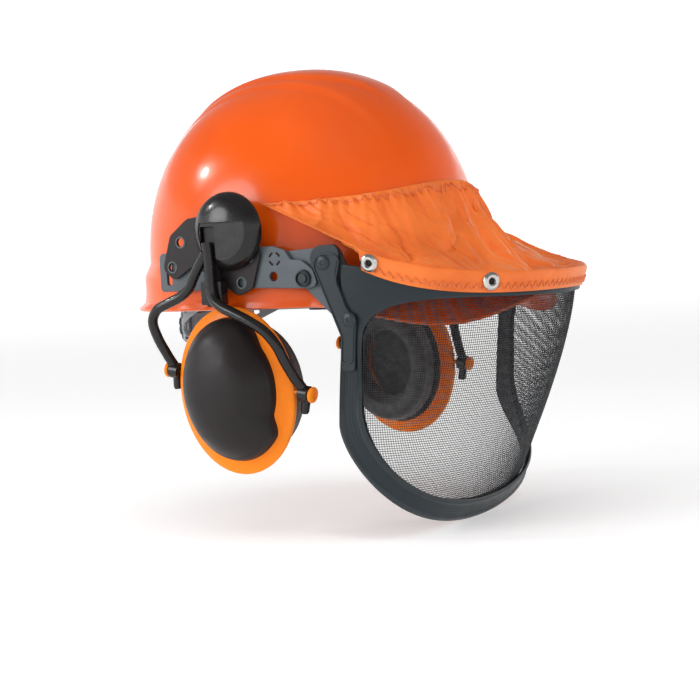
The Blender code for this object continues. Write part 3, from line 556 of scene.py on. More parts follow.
def add_bevel(piece, width, segments=3, angle=35):
    setup(
        piece.modifiers.new("edges", "BEVEL"), width=width, segments=segments,
        limit_method="ANGLE", angle_limit=math.radians(angle), harden_normals=False,
    )


def add_solidify(piece, thickness, offset=0.0, even=True):
    wall = piece.modifiers.new("wall", "SOLIDIFY")
    setup(wall, thickness=thickness, offset=offset, use_even_offset=even)


def edge_smoothing():
    """Node group that shades a mesh smooth but for its edges sharper than 32 degrees."""
    group = bpy.data.node_groups.new("smooth_by_edge", "GeometryNodeTree")
    for direction in ("INPUT", "OUTPUT"):
        group.interface.new_socket("Geometry", in_out=direction, socket_type="NodeSocketGeometry")
    start, end, faces, edges, angle, sharp = (
        group.nodes.new(kind)
        for kind in (
            "NodeGroupInput", "NodeGroupOutput", "GeometryNodeSetShadeSmooth", "GeometryNodeSetShadeSmooth",
            "GeometryNodeInputMeshEdgeAngle", "FunctionNodeCompare",
        )
    )
    faces.domain, edges.domain = "FACE", "EDGE"
    edges.inputs["Shade Smooth"].default_value = False
    sharp.inputs["B"].default_value = math.radians(32)
    for output, socket in (
        (angle.outputs["Unsigned Angle"], sharp.inputs["A"]),
        (sharp.outputs["Result"], edges.inputs["Selection"]),
        (start.outputs[0], faces.inputs["Geometry"]),
        (faces.outputs[0], edges.inputs["Geometry"]),
        (edges.outputs[0], end.inputs[0]),
    ):
        group.links.new(output, socket)
    return group


EDGE_SMOOTHING = edge_smoothing()


def add_edge_smoothing(piece):
    piece.modifiers.new("smooth", "NODES").node_group = EDGE_SMOOTHING
    piece.modifiers.new("normals", "WEIGHTED_NORMAL").keep_sharp = True


def dress(node, finish, edge=0.0004):
    """Shows a CAD node with a finished material and softened edges."""
    piece = NODES[node]
    piece.data.materials.clear()
    piece.data.materials.append(finish[0])
    piece.modifiers.new("weld", "WELD").merge_threshold = 0.00001
    if edge:
        add_bevel(piece, edge, 2)
    add_edge_smoothing(piece)


def surface_rows(surface, columns, rows):
    """Rows of a surface's points, with u and v from 0 to 1 across and down it."""
    return [[surface(c / columns, r / rows) for c in range(columns + 1)] for r in range(rows + 1)]


def grid_mesh(name, points, around=False, metres=None):
    """A mesh through rows of points. The rows close on themselves if around is set."""
    rows, columns = len(points), len(points[0])
    corners = [tuple(point) for row in points for point in row]
    spans = columns if around else columns - 1
    faces = []
    for r in range(rows - 1):
        for c in range(spans):
            ahead = (c + 1) % columns
            here, below = r * columns, (r + 1) * columns
            faces.append((here + c, here + ahead, below + ahead, below + c))
    mesh = bpy.data.meshes.new(name)
    mesh.from_pydata(corners, [], faces)
    if metres:
        layer = mesh.uv_layers.new(name="metres")
        indices = np.zeros(len(mesh.loops), np.int32)
        mesh.loops.foreach_get("vertex_index", indices)
        across = (indices % columns) * metres[0] / (columns - 1)
        along = (indices // columns) * metres[1] / (rows - 1)
        layer.data.foreach_set("uv", np.column_stack((across, along)).astype(np.float32).ravel())
    return mesh


def written(made, mesh):
    """The mesh, with a bmesh written to it."""
    made.to_mesh(mesh)
    made.free()
    return mesh


def tidy_mesh(mesh):
    """Merges coinciding points and turns every face outwards."""
    made = bmesh.new()
    made.from_mesh(mesh)
    bmesh.ops.remove_doubles(made, verts=made.verts, dist=1e-6)
    bmesh.ops.recalc_face_normals(made, faces=made.faces)
    return written(made, mesh)


def lathe(name, profile, place, steps=72, slim=1.0, smooth=0):
    """A profile of (radius, height), spun about its own Z axis. Smooth rounds it by that many points."""
    if smooth:
        route = smooth_route([(r, 0.0, h) for r, h in profile], smooth)
        profile = [(max(0.0, point.x), point.z) for point in route]
    if profile[0][0] > 0:
        profile = profile + [profile[0]]
    rows = [[(r * math.cos(a), r * math.sin(a) * slim, h) for a in turns(steps)] for r, h in profile]
    mesh = grid_mesh(name, rows, around=True)
    mesh.transform(place)
    return tidy_mesh(mesh)


def sweep(name, route, radii, sides=20, squeeze=1.0):
    """A round bar along a route, with a radius at each of its points and flat ends."""
    route = [Vector(point) for point in route]
    rows, up = [], Vector((1, 0, 0))
    for i, point in enumerate(route):
        along = (route[min(i + 1, len(route) - 1)] - route[max(i - 1, 0)]).normalized()
        side = along.cross(up).normalized()
        up = side.cross(along).normalized()
        radius = radii[i] if isinstance(radii, (list, tuple)) else radii
        rows.append([
            point + side * math.cos(a) * radius + up * math.sin(a) * radius * squeeze for a in turns(sides)
        ])
    rows = [[route[0]] * sides, *rows, [route[-1]] * sides]
    return tidy_mesh(grid_mesh(name, rows, around=True))


def joined(name, meshes):
    """One mesh from several."""
    made = bmesh.new()
    for mesh in meshes:
        made.from_mesh(mesh)
    return written(made, bpy.data.meshes.new(name))


def block(name, low, high, place=Matrix.Identity(4), edge=0.0008, segments=3):
    """A box with rounded edges between two corners of its own space."""
    low, high = Vector(low), Vector(high)
    made = bmesh.new()
    bmesh.ops.create_cube(made, size=1.0)
    for vertex in made.verts:
        vertex.co = (low + high) / 2 + vertex.co * (high - low)
    bmesh.ops.bevel(
        made, geom=list(made.edges), offset=edge, segments=segments, profile=0.5, affect="EDGES"
    )
    mesh = written(made, bpy.data.meshes.new(name))
    mesh.transform(place)
    return mesh


def rounded(corners, arc_points=8):
    """An outline of (y, z, corner radius) with each corner turned into an arc."""
    outline = []
    count = len(corners)
    for i, (y, z, radius) in enumerate(corners):
        here = Vector((y, z))
        back = (Vector(corners[i - 1][:2]) - here).normalized()
        ahead = (Vector(corners[(i + 1) % count][:2]) - here).normalized()
        half_angle = back.angle(ahead) / 2
        centre = here + (back + ahead).normalized() * (radius / math.sin(half_angle))
        start = here + back * (radius / math.tan(half_angle)) - centre
        end = here + ahead * (radius / math.tan(half_angle)) - centre
        for step in range(arc_points + 1):
            outline.append(centre + start.lerp(end, step / arc_points).normalized() * radius)
    return outline


def circle(centre, radius, points=28):
    return [Vector(centre) + radius * round_vector(a) for a in turns(points)]


def slot_outline(start, end, radius, points=10):
    """A long hole with round ends, between the centres of its ends."""
    start, end = Vector(start), Vector(end)
    first = math.atan2(*(end - start).yx)
    return [
        centre + radius * round_vector(turn + math.pi * i / points)
        for centre, turn in ((end, first - math.pi / 2), (start, first + math.pi / 2))
        for i in range(points + 1)
    ]


def arc_outline(centre, radius, half_width, start, span=50, points=6):
    """A hole along an arc that starts at this angle, in degrees."""
    sides = ((radius + half_width, range(points + 1)), (radius - half_width, range(points, -1, -1)))
    return [
        Vector(centre) + reach * round_vector(math.radians(start + span * i / points))
        for reach, order in sides
        for i in order
    ]


def plate_mesh(name, outlines, faces, edge=0.0004):
    """A flat plate in the Y-Z plane between two distances from the middle, with softened edges."""
    curve = setup(
        bpy.data.curves.new(name, "CURVE"), dimensions="2D", fill_mode="BOTH", bevel_depth=edge,
        bevel_resolution=2, offset=-edge, extrude=(faces[1] - faces[0]) / 2 - edge,
    )
    for loop in outlines:
        spline = curve.splines.new("POLY")
        spline.points.add(len(loop) - 1)
        for point, place in zip(spline.points, loop):
            point.co = (place.x, place.y, 0.0, 1.0)
        spline.use_cyclic_u = True
    item = placed(name, curve)
    mesh = applied(item)
    bpy.data.objects.remove(item)
    y_z_plane = Matrix(((0, 0, 1), (1, 0, 0), (0, 1, 0))).to_4x4()
    mesh.transform(Matrix.Translation(((faces[0] + faces[1]) / 2, 0, 0)) @ y_z_plane)
    return tidy_mesh(mesh)


def turned_pair(name, profile, place, finish, body, node, steps=72, slim=1.0, smooth=0, edges=True):
    """A turned piece on the left and its mirror image on the right."""
    return new_pair(name, lathe(name, profile, place, steps, slim, smooth), finish, body, node, edges)


# ---- shell ----


def shell_outline(angle, offset=0.0):
    """The dome's outline at its widest level."""
    outline = superellipse(angle, DOME_HALF_WIDTH + offset, DOME_HALF_LENGTH + offset, DOME_ROUNDNESS)
    return outline + Vector((0.0, DOME_CENTRE_Y, 0.0))


def shell_normal(angle):
    """The level direction straight out of the shell's side."""
    point = shell_outline(angle) - Vector((0.0, DOME_CENTRE_Y, 0.0))
    power = DOME_ROUNDNESS - 1
    across = math.copysign(abs(point.x / DOME_HALF_WIDTH) ** power / DOME_HALF_WIDTH, point.x)
    along = math.copysign(abs(point.y / DOME_HALF_LENGTH) ** power / DOME_HALF_LENGTH, point.y)
    return Vector((across, along, 0.0)).normalized()


def crown_relief(x, y):
    """How far the raised band along the crown and the ridge on it stand out at this place."""
    from_middle = abs(y - DOME_CENTRE_Y)
    across = soft_step((BAND_HALF_WIDTH + 0.003 - abs(x)) / 0.006)
    band = BAND_RISE * across * soft_step((BAND_REACH - from_middle) / 0.040)
    ridge_half = 0.036 - 0.019 * soft_step((-0.020 - y) / 0.060)
    ridge_side = soft_step((ridge_half + 0.0025 - abs(x)) / 0.005)
    return band + RIDGE_RISE * ridge_side * soft_step((RIDGE_REACH - from_middle) / 0.030)


def dome_point(angle, tilt, offset=0.0, relief=True):
    """A point on the dome, from tilt 0 at its widest level to 90 degrees at its top."""
    level = max(0.0, math.cos(tilt)) ** (2 / DOME_ROUNDNESS)
    height = math.sin(tilt) ** (2 / DOME_ROUNDNESS)
    point = shell_outline(angle, offset)
    x = point.x * level
    y = DOME_CENTRE_Y + (point.y - DOME_CENTRE_Y) * level
    rise = crown_relief(x, y) * height if relief else 0.0
    return Vector((x, y, DOME_WIDEST_Z + (DOME_HEIGHT + offset) * height + rise))


def peak_edge(angle):
    """The peak's outer edge. It is highest in the middle and dips to either side."""
    turn = min(math.pi / 2, 1.5 * abs(angle))
    x = math.copysign(PEAK_HALF_WIDTH * math.sin(turn), angle)
    y = PEAK_CENTRE_Y - PEAK_LENGTH * math.cos(turn)
    return Vector((x, y, -PEAK_ARCH * math.sin(2 * turn) ** 2))


def rim_point(angle, reach, offset):
    """A point between the dome's foot, at reach 0, and the lip or the peak's edge, at 1."""
    level, side_step, rear_step = (
        float(np.interp(reach, RIM_REACH, values)) for values in (RIM_LEVEL, RIM_SIDE, RIM_REAR)
    )
    rear = soft_step((abs(angle) - math.radians(95)) / math.radians(45))
    side = shell_outline(angle, side_step + (rear_step - side_step) * rear + offset)
    side.z = level
    edge = peak_edge(angle)
    root = shell_outline(angle, SKIRT_STEP + offset)
    root.z = PEAK_ROOT_Z
    peak = root.lerp(edge, reach)
    peak.z = PEAK_ROOT_Z + (edge.z - PEAK_ROOT_Z) * reach ** 1.25
    share = soft_step((PEAK_FROM_ANGLE - abs(angle)) / (PEAK_FROM_ANGLE - PEAK_FULL_ANGLE))
    return side.lerp(peak, share)


def key_frame(angle):
    """The place on the shell's inner wall at this angle, with its own X axis pointing out."""
    out = shell_normal(angle)
    wall = shell_outline(angle, SKIRT_STEP - SHELL_WALL)
    return Matrix.Translation(wall) @ Matrix.Rotation(math.atan2(out.y, out.x), 4, "Z")


def make_shell():
    """The shell's mid-surface in fine rows, thickened, and the pockets for the anchor keys."""
    middle = -SHELL_WALL / 2
    columns, dome_rows, rim_rows = 224, 64, 26
    angles = [a - math.pi for a in turns(columns)]
    tilts = [math.pi / 2 * (1 - r / dome_rows) for r in range(dome_rows + 1)]
    dome = [[dome_point(a, tilt, middle) for a in angles] for tilt in tilts]
    rim = [[rim_point(a, r / rim_rows, middle) for a in angles] for r in range(rim_rows + 1)]
    step = [
        [foot.lerp(skirt, soft_step(share)) for foot, skirt in zip(dome[-1], rim[0])] for share in (0.35, 0.7)
    ]
    mesh = tidy_mesh(grid_mesh("shell_skin", dome + step + rim, around=True))
    shell = new_piece("shell_skin", mesh, SHELL_PLASTIC, "helmet", "shell")
    add_solidify(shell, SHELL_WALL)
    add_bevel(shell, 0.0009, 3, angle=50)
    walls = [
        block("pocket", (*low, POCKET_LEVELS[0]), (*high, POCKET_LEVELS[1]), key_frame(angle), 0.0004, 2)
        for end in KEY_ANGLES
        for angle in (end, -end)
        for low, high in (
            ((-0.0094, -0.0155), (-0.0077, 0.0155)),
            ((-0.0077, -0.0155), (0.0022, -0.0134)),
            ((-0.0077, 0.0134), (0.0022, 0.0155)),
            ((-0.0031, -0.0134), (0.0022, 0.0134)),
        )
    ]
    new_piece("key_pockets", joined("key_pockets", walls), SHELL_PLASTIC, "helmet")


# ---- head harness ----


def headband_point(angle, offset=0.0):
    half_width, half_length = HEADBAND_HALF_WIDTH + offset, HEADBAND_HALF_LENGTH + offset
    point = superellipse(angle, half_width, half_length, HEADBAND_ROUNDNESS)
    return point + Vector((0.0, HEADBAND_CENTRE_Y, 0.0))


def make_sweatband():
    """A padded band round the brow, with rounded edges and a row of small pleats."""
    low, high = HEADBAND_LEVELS[0] - 0.001, HEADBAND_LEVELS[1] + 0.001

    def surface(u, v):
        ends = min(1.0, 14 * u, 14 * (1 - u)) ** 0.5
        crown = (1 - (2 * v - 1) ** 4) ** 0.5 * ends
        pleat = 0.12 * math.cos(2 * math.pi * BAND_PLEATS * u) * (2 * v - 1) ** 2
        point = headband_point((2 * u - 1) * PAD_ANGLE, -0.0013 - 0.0020 * crown * (1 - pleat))
        point.z = low + (high - low) * v
        return point

    mesh = grid_mesh("sweatband_pad", surface_rows(surface, 160, 24), metres=(0.24, 0.032))
    pad = new_piece("sweatband_pad", mesh, FOAM, "helmet", "sweatband")
    add_solidify(pad, 0.0010, offset=0.0)


def make_crown_straps():
    """Two woven straps that cross under the crown."""
    for name, side, top in (("upper", 1, 0.1250), ("lower", -1, 0.1225)):
        out = shell_outline(side * KEY_ANGLES[0]).normalized()
        across = Vector((-out.y, out.x, 0.0))

        def surface(u, v):
            turn = math.pi * u
            level = math.copysign(abs(math.cos(turn)) ** STRAP_POWER, math.cos(turn))
            point = out * STRAP_REACH * level + across * STRAP_HALF_WIDTH * (2 * v - 1)
            point.y += DOME_CENTRE_Y
            point.z = STRAP_FOOT_Z + (top - STRAP_FOOT_Z) * math.sin(turn) ** STRAP_POWER
            return point

        node = f"crown_strap_{name}"
        mesh = grid_mesh(f"{node}_tape", surface_rows(surface, 160, 8), metres=(0.34, 0.020))
        add_solidify(new_piece(f"{node}_tape", mesh, WEBBING, "helmet", node), 0.0012)


def make_knob():
    """The ratchet's knob, with finger scallops round its edge."""
    profile = [
        (0.0, 0.0106), (0.0060, 0.0107), (0.0085, 0.0118), (0.0128, 0.0117), (0.0152, 0.0106),
        (0.0161, 0.0090), (0.0165, 0.0030), (0.0160, 0.0010), (0.0120, 0.0002), (0.0036, 0.0),
        (0.0036, -0.0033), (0.0, -0.0033),
    ]
    mesh = lathe("knob_grip", profile, Matrix.Identity(4), steps=144)
    for vertex in mesh.vertices:
        radius = vertex.co.xy.length
        if radius > KNOB_FACE_RADIUS:
            angle = math.atan2(vertex.co.y, vertex.co.x)
            near_edge = soft_step((radius - KNOB_FACE_RADIUS) / 0.002)
            scallop = 0.0009 * max(0.0, math.cos(KNOB_SCALLOPS * angle)) * near_edge
            vertex.co.xy *= (radius - scallop) / radius
    mesh.transform(facing((0, KNOB_BASE_Y, NAPE_Z), (0, 1, 0)))
    add_edge_smoothing(new_piece("knob_grip", mesh, FRAME_PLASTIC, "ratchet_wheel", "ratchet_knob"))


# ---- visor ----


def visor_point(angle, z, offset=0.0):
    """A point of the visor's surface. Its front draws in towards the bottom."""
    drop = max(0.0, (VISOR_TOP_Z - z) / VISOR_DROP)
    half_width = VISOR_HALF_WIDTH + offset
    depth = half_width - 0.080 * drop ** 1.45
    centre = VISOR_CENTRE_Y - 0.0054 * drop
    return Vector((half_width * math.sin(angle), centre - depth * math.cos(angle), z))


def spread(u, limit):
    """Angles from -limit to limit as u goes from 0 to 1, closest together at both ends."""
    return limit * math.sin(math.pi / 2 * (2 * u - 1))


def frame_top(angle):
    """The level of the top bar's upper edge."""
    return 0.030 - 0.0195 * math.cos(angle)


def frame_bottom(angle):
    """The level of the frame's lower edge."""
    return VISOR_LEG_Z - VISOR_BOTTOM_DEPTH * max(0.0, math.cos(angle)) ** 0.55


def window_limit(grow):
    """The angle of the window's side edges. All three window functions take how much larger it is."""
    return VISOR_WINDOW_ANGLE + grow / VISOR_HALF_WIDTH


def window_top(angle, grow):
    share = min(1.0, abs(angle / window_limit(grow)))
    corner = 1 - (1 - share ** 5) ** 0.2
    return 0.0100 - 0.009 * math.cos(angle) - 0.060 * corner + grow


def window_bottom(angle, grow):
    turn = angle * math.pi / 2 / window_limit(grow)
    return -0.062 - grow - 0.079 * max(0.0, math.cos(turn)) ** 0.45


def loop_places():
    """Every place round the frame: its side (top, leg, bottom, other leg) and the share along it."""
    for side, count in enumerate(LOOP_COLUMNS):
        for column in range(count):
            yield side, column / count


def outer_loop(side, share):
    """(angle, z) round the frame's outside: the top bar, a leg, the bottom and the other leg."""
    if side == 0:
        angle = spread(share, VISOR_TOP_ANGLE)
        return angle, frame_top(angle)
    if side == 2:
        angle = -spread(share, math.pi / 2)
        return angle, frame_bottom(angle)
    up = 1 - share if side == 1 else share
    angle = math.pi / 2 + (VISOR_TOP_ANGLE - math.pi / 2) * min(1.0, 1.5 * up)
    z = VISOR_LEG_Z + (frame_top(VISOR_TOP_ANGLE) - VISOR_LEG_Z) * up
    return (angle, z) if side == 1 else (-angle, z)


def inner_loop(side, share):
    """(angle, z) round the window in the frame."""
    limit = window_limit(0.0)
    if side == 0:
        angle = spread(share, limit)
        return angle, window_top(angle, 0.0)
    if side == 2:
        angle = -spread(share, limit)
        return angle, window_bottom(angle, 0.0)
    top, low = window_top(limit, 0.0), window_bottom(limit, 0.0)
    return (limit, top + (low - top) * share) if side == 1 else (-limit, low + (top - low) * share)


def frame_relief(v):
    """The frame's section from its outer edge, v 0, to its window, v 1: two ribs and three fine grooves."""
    ribs = bump(v, 0.10, 0.10) + bump(v, 0.90, 0.12)
    return ribs - 0.28 * sum(bump(v, groove, 0.05) for groove in (0.36, 0.50, 0.64))


def make_visor_frame():
    """One moulding with raised ribs along its edges, and the flat shoulder at each side."""

    def section(side, share, v):
        outer, inner = outer_loop(side, share), inner_loop(side, share)
        angle, z = (start + (end - start) * v for start, end in zip(outer, inner))
        below_hem = soft_step((-0.004 - z) / 0.016)
        return visor_point(angle, z, FRAME_RIB * frame_relief(v) * below_hem)

    rows = [[section(*place, r / FRAME_ROWS) for place in loop_places()] for r in range(FRAME_ROWS + 1)]
    mesh = tidy_mesh(grid_mesh("visor_frame_moulding", rows, around=True))
    made = new_piece("visor_frame_moulding", mesh, FRAME_PLASTIC, "visor", "visor_frame")
    add_solidify(made, 0.0026)
    add_bevel(made, 0.0006, 2, angle=50)
    outline = [
        (-0.0690, 0.041, 0.0085), (-0.0950, -0.022, 0.0100), (-0.0935, -0.042, 0.0030),
        (-0.1030, -0.042, 0.0030), (-0.1055, -0.010, 0.0080), (-0.0985, 0.002, 0.0060),
        (-0.0915, 0.021, 0.0060), (-0.0970, 0.042, 0.0060),
    ]
    holes = [circle(place, 0.0026) for place in RIVETS.values()]
    shoulder = plate_mesh("shoulder_plate", [rounded(outline)] + holes, SHOULDER_FACES)
    new_pair("shoulder_plate", shoulder, FRAME_PLASTIC, "visor")
    middle = Vector(sum(values) / len(outline) for values in zip(*(corner[:2] for corner in outline)))
    route = [middle + (point - middle) * 0.86 for point in rounded(outline, 5)]
    points = [Vector((SHOULDER_FACES[1] + 0.0001, *point)) for point in route]
    ridge = sweep("shoulder_rib", points + points[:1], 0.0007, 8)
    new_pair("shoulder_rib", ridge, FRAME_PLASTIC, "visor", edges=False)


def wire_family(name, routes):
    """Thin three-sided wires along routes, in one mesh."""
    sides = 3
    corners, faces = [], []
    for route in routes:
        first = len(corners)
        for i, point in enumerate(route):
            along = (route[min(i + 1, len(route) - 1)] - route[max(i - 1, 0)]).normalized()
            off_axis = Vector((0.31, 0.17, 0.93)) if abs(along.z) < 0.7 else Vector((0.9, 0.4, 0))
            side = along.cross(off_axis).normalized()
            up = side.cross(along)
            corners += [point + (side * math.cos(a) + up * math.sin(a)) * WIRE_RADIUS for a in turns(sides)]
        for i in range(len(route) - 1):
            for k in range(sides):
                here, ahead = first + i * sides, first + (i + 1) * sides
                faces.append((here + k, here + (k + 1) % sides, ahead + (k + 1) % sides, ahead + k))
        last = len(corners) - sides
        faces += [(first + 2, first + 1, first), (last, last + 1, last + 2)]
    mesh = bpy.data.meshes.new(name)
    mesh.from_pydata([tuple(c) for c in corners], [], faces)
    return mesh


def make_visor_wires():
    """The woven mesh: upright wires and cross wires that pass over and under each other."""
    grow = 0.004
    limit = window_limit(grow) - 0.004
    count = int(2 * limit * VISOR_HALF_WIDTH / WIRE_PITCH)
    angles = [limit * (2 * i / count - 1) for i in range(count + 1)]
    lowest = window_bottom(0.0, grow)
    highest = max(window_top(a, grow) for a in angles)
    levels = [lowest + 0.001 + WIRE_PITCH * k for k in range(int((highest - lowest) / WIRE_PITCH) + 1)]

    def woven(places, over):
        """The runs of one wire through its (column, level) places that lie inside the window."""
        runs = [[]]
        for i, k in places:
            angle, z = angles[i], levels[k]
            if window_bottom(angle, grow) < z < window_top(angle, grow):
                wave = over * WIRE_WAVE * (1 if (i + k) % 2 else -1)
                runs[-1].append(visor_point(angle, z, WIRE_DEPTH + wave))
            elif runs[-1]:
                runs.append([])
        return [run for run in runs if len(run) > 2]

    columns, rows = range(len(angles)), range(len(levels))
    upright = [run for i in columns for run in woven([(i, k) for k in rows], 1)]
    cross = [run for k in rows for run in woven([(i, k) for i in columns], -1)]
    new_piece("visor_wires_upright", wire_family("upright", upright), WIRE, "visor", "visor_mesh")
    new_piece("visor_wires_cross", wire_family("cross", cross), WIRE, "visor")


def make_visor_arms():
    """The swinging arms, the carriers and their pins and rivets."""
    outline = [
        (-0.042, 0.038, 0.004), (-0.050, 0.0165, 0.006), (-0.062, 0.0150, 0.005), (-0.092, -0.0125, 0.005),
        (-0.1045, -0.0145, 0.005), (-0.107, 0.004, 0.005), (-0.090, 0.041, 0.007),
    ]
    holes = [circle(VISOR_PIVOT, 0.0043), circle(RIVETS["lower"], 0.0026), circle(RIVETS["upper"], 0.0026)]
    arm = plate_mesh("visor_arm_plate", [rounded(outline)] + holes, ARM_FACES)
    spacer = [(0.0050, 0.1147), (0.0050, 0.1108), (0.0027, 0.1108), (0.0027, 0.1147)]
    post = lathe("spacer", spacer, outward(*RIVETS["upper"]), 32)
    mesh = joined("visor_arm_plate", [arm, post])
    new_pair("visor_arm_plate", mesh, SLATE_PLASTIC, "visor", "visor_arm")
    outline = [
        (0.054, 0.014, 0.003), (0.054, 0.041, 0.004), (-0.041, 0.0425, 0.005), (-0.0505, 0.0395, 0.002),
        (-0.0550, 0.0330, 0.003), (-0.0635, 0.0322, 0.005), (-0.0720, 0.0260, 0.006),
        (-0.0760, 0.0150, 0.004), (-0.0670, 0.0132, 0.005), (-0.032, 0.0145, 0.010),
    ]
    holes = [
        circle(VISOR_PIVOT, 0.0043), circle((-0.041, 0.022), 0.0032),
        slot_outline((0.0460, 0.0205), (0.0460, 0.0340), 0.0022),
    ]
    holes += [arc_outline((-0.0425, 0.0338), 0.0042, 0.0006, turn) for turn in (20, 110, 200, 290)]
    strip = plate_mesh("carrier_strip", [rounded(outline)] + holes, CARRIER_FACES)
    tab = block("tab", (0.1035, -0.007, 0.016), (0.1130, 0.017, 0.019), edge=0.0005)
    mesh = joined("carrier_strip", [strip, tab])
    new_pair("carrier_strip", mesh, SLATE_PLASTIC, "helmet", "carrier")
    pin = [
        (0.0, 0.1168), (0.0030, 0.1168), (0.0032, 0.1158), (0.0044, 0.1158), (0.0046, 0.1170),
        (0.0056, 0.1164), (0.0060, 0.1150), (0.0040, 0.1150), (0.0040, 0.1080), (0.0062, 0.1080),
        (0.0062, 0.1064), (0.0, 0.1062),
    ]
    turned_pair("pivot_pin", pin, outward(*VISOR_PIVOT), FRAME_PLASTIC, "helmet", "visor_pivot_pin", 40)
    rivet = [
        (0.0, 0.1196), (0.0012, 0.1196), (0.0016, 0.1200), (0.0034, 0.1199), (0.0045, 0.1193),
        (0.0050, 0.1187), (0.0023, 0.1187), (0.0023, 0.1081), (0.0045, 0.1081), (0.0045, 0.1068),
        (0.0, 0.1068),
    ]
    for name, centre in RIVETS.items():
        place = outward(*centre)
        turned_pair(f"rivet_{name}", rivet, place, FRAME_PLASTIC, "visor", f"visor_rivet_{name}", 32)


# ---- fabric cover ----


def hem_level(angle):
    """The height of the hem's lower edge, which rises to the shoulders."""
    return 0.004 + 0.020 * (abs(angle) / COVER_ANGLE) ** 4


def elastic_edge(angle):
    """The cover's gathered edge, on the dome."""
    z = 0.0715 + 0.011 * math.cos(angle) ** 4
    tilt = math.asin(((z - DOME_WIDEST_Z) / DOME_HEIGHT) ** (DOME_ROUNDNESS / 2))
    point = dome_point(angle, tilt, 0.0016, relief=False)
    point.z = z
    return point


def creased_cover_point(angle, v):
    """A point of the cover with a sharp fold: from the elastic edge to the fold, then down the hem."""
    middle = Vector((0.0, VISOR_CENTRE_Y, hem_level(angle)))
    outward = Vector((math.sin(angle), -math.cos(angle), 0.0))
    fold = middle + outward * FOLD_RADIUS + Vector((0.0, 0.0, HEM_HEIGHT))
    hem = middle + outward * HEM_RADIUS
    if v > FOLD_SHARE:
        return fold.lerp(hem, (v - FOLD_SHARE) / HEM_SHARE)
    top = elastic_edge(angle)
    control = (top + fold) / 2 + 2 * COVER_SAG * math.cos(angle) ** 3
    t = v / FOLD_SHARE
    return top * (1 - t) ** 2 + control * 2 * t * (1 - t) + fold * t * t


def cover_point(angle, v):
    """A point of the cover, with the fold over the visor bar rounded."""
    if abs(v - FOLD_SHARE) > FOLD_SPAN:
        return creased_cover_point(angle, v)
    before, crease, after = (creased_cover_point(angle, FOLD_SHARE + k * FOLD_SPAN) for k in (-1, 0, 1))
    t = (v - FOLD_SHARE + FOLD_SPAN) / (2 * FOLD_SPAN)
    return before * (1 - t) ** 2 + crease * 2 * t * (1 - t) + after * t * t


def gather(u, v):
    """Height of the pleats that run down from the elastic and fade towards the fold."""
    wander = 0.35 * math.sin(9 * u + 5 * v) + 0.2 * math.sin(23 * u - 3 * v)
    fine_count, fine_height, fine_reach = FINE_PLEATS
    wide_count, wide_height, wide_reach = WIDE_PLEATS
    fine = math.sin(2 * math.pi * fine_count * u + 3 * wander) * soft_step(1 - v / fine_reach)
    wide = math.sin(2 * math.pi * wide_count * u + 5 * wander + 2.1) * soft_step(1 - v / wide_reach)
    slack = math.sin(2 * math.pi * 3.5 * u + 6 * v + 2 * wander) * bump(v, 0.42, 0.40)
    return fine_height * fine + wide_height * wide + SLACK_HEIGHT * slack


def crease_height(u, v):
    """Height of the sharp creases that cross the slack cloth in all directions."""
    warp = noise.noise(Vector((4 * u, 3 * v, 7.1)))
    height = 0.0
    for layer, slant, count, tall in CREASES:
        place = Vector((count * (u + slant * v / 3) + warp, count * 0.36 * v + warp, layer))
        height += tall * max(0.0, 1 - 4.5 * abs(noise.noise(place))) ** 1.5
    ends = soft_step((0.46 - abs(u - 0.5)) / 0.12)
    return height * ends * soft_step(v / 0.12) * soft_step((FOLD_SHARE - v) / 0.22)


def pleated_point(u, v):
    """A point of the cover before it is draped, with its pleats."""
    angle = (2 * u - 1) * COVER_ANGLE
    around = cover_point(angle + 0.004, v) - cover_point(angle - 0.004, v)
    down = cover_point(angle, min(1.0, v + 0.004)) - cover_point(angle, max(0.0, v - 0.004))
    calm = soft_step((COVER_ANGLE - abs(angle)) / 0.12) * soft_step(v / 0.02)
    return cover_point(angle, v) + down.cross(around).normalized() * gather(u, v) * calm


def coordinates(mesh):
    """The places of a mesh's points, as rows of three numbers."""
    places = np.zeros(len(mesh.vertices) * 3)
    mesh.vertices.foreach_get("co", places)
    return places.reshape(-1, 3)


def simulate_cloth(piece, held, frames, most, gravity, **settings):
    """How far each point of a piece moves as cloth, when it may move this far at most."""
    piece.vertex_groups.new(name="held").add(held, 1.0, "REPLACE")
    cloth = piece.modifiers.new("cloth", "CLOTH")
    setup(cloth.settings, vertex_group_mass="held", **settings)
    cloth.settings.effector_weights.gravity = gravity
    cloth.collision_settings.use_collision = False
    scene = bpy.context.scene
    for step in range(1, frames + 1):
        scene.frame_set(step)
    settled = coordinates(piece.evaluated_get(bpy.context.evaluated_depsgraph_get()).data)
    piece.modifiers.clear()
    scene.frame_set(1)
    move = settled - coordinates(piece.data)
    length = np.linalg.norm(move, axis=1, keepdims=True)
    return move * np.minimum(1.0, most / np.maximum(length, 1e-9))


def shift_points(piece, move):
    """Moves each point of a piece's mesh by its own row."""
    piece.data.vertices.foreach_set("co", (coordinates(piece.data) + move).ravel())
    piece.data.update()


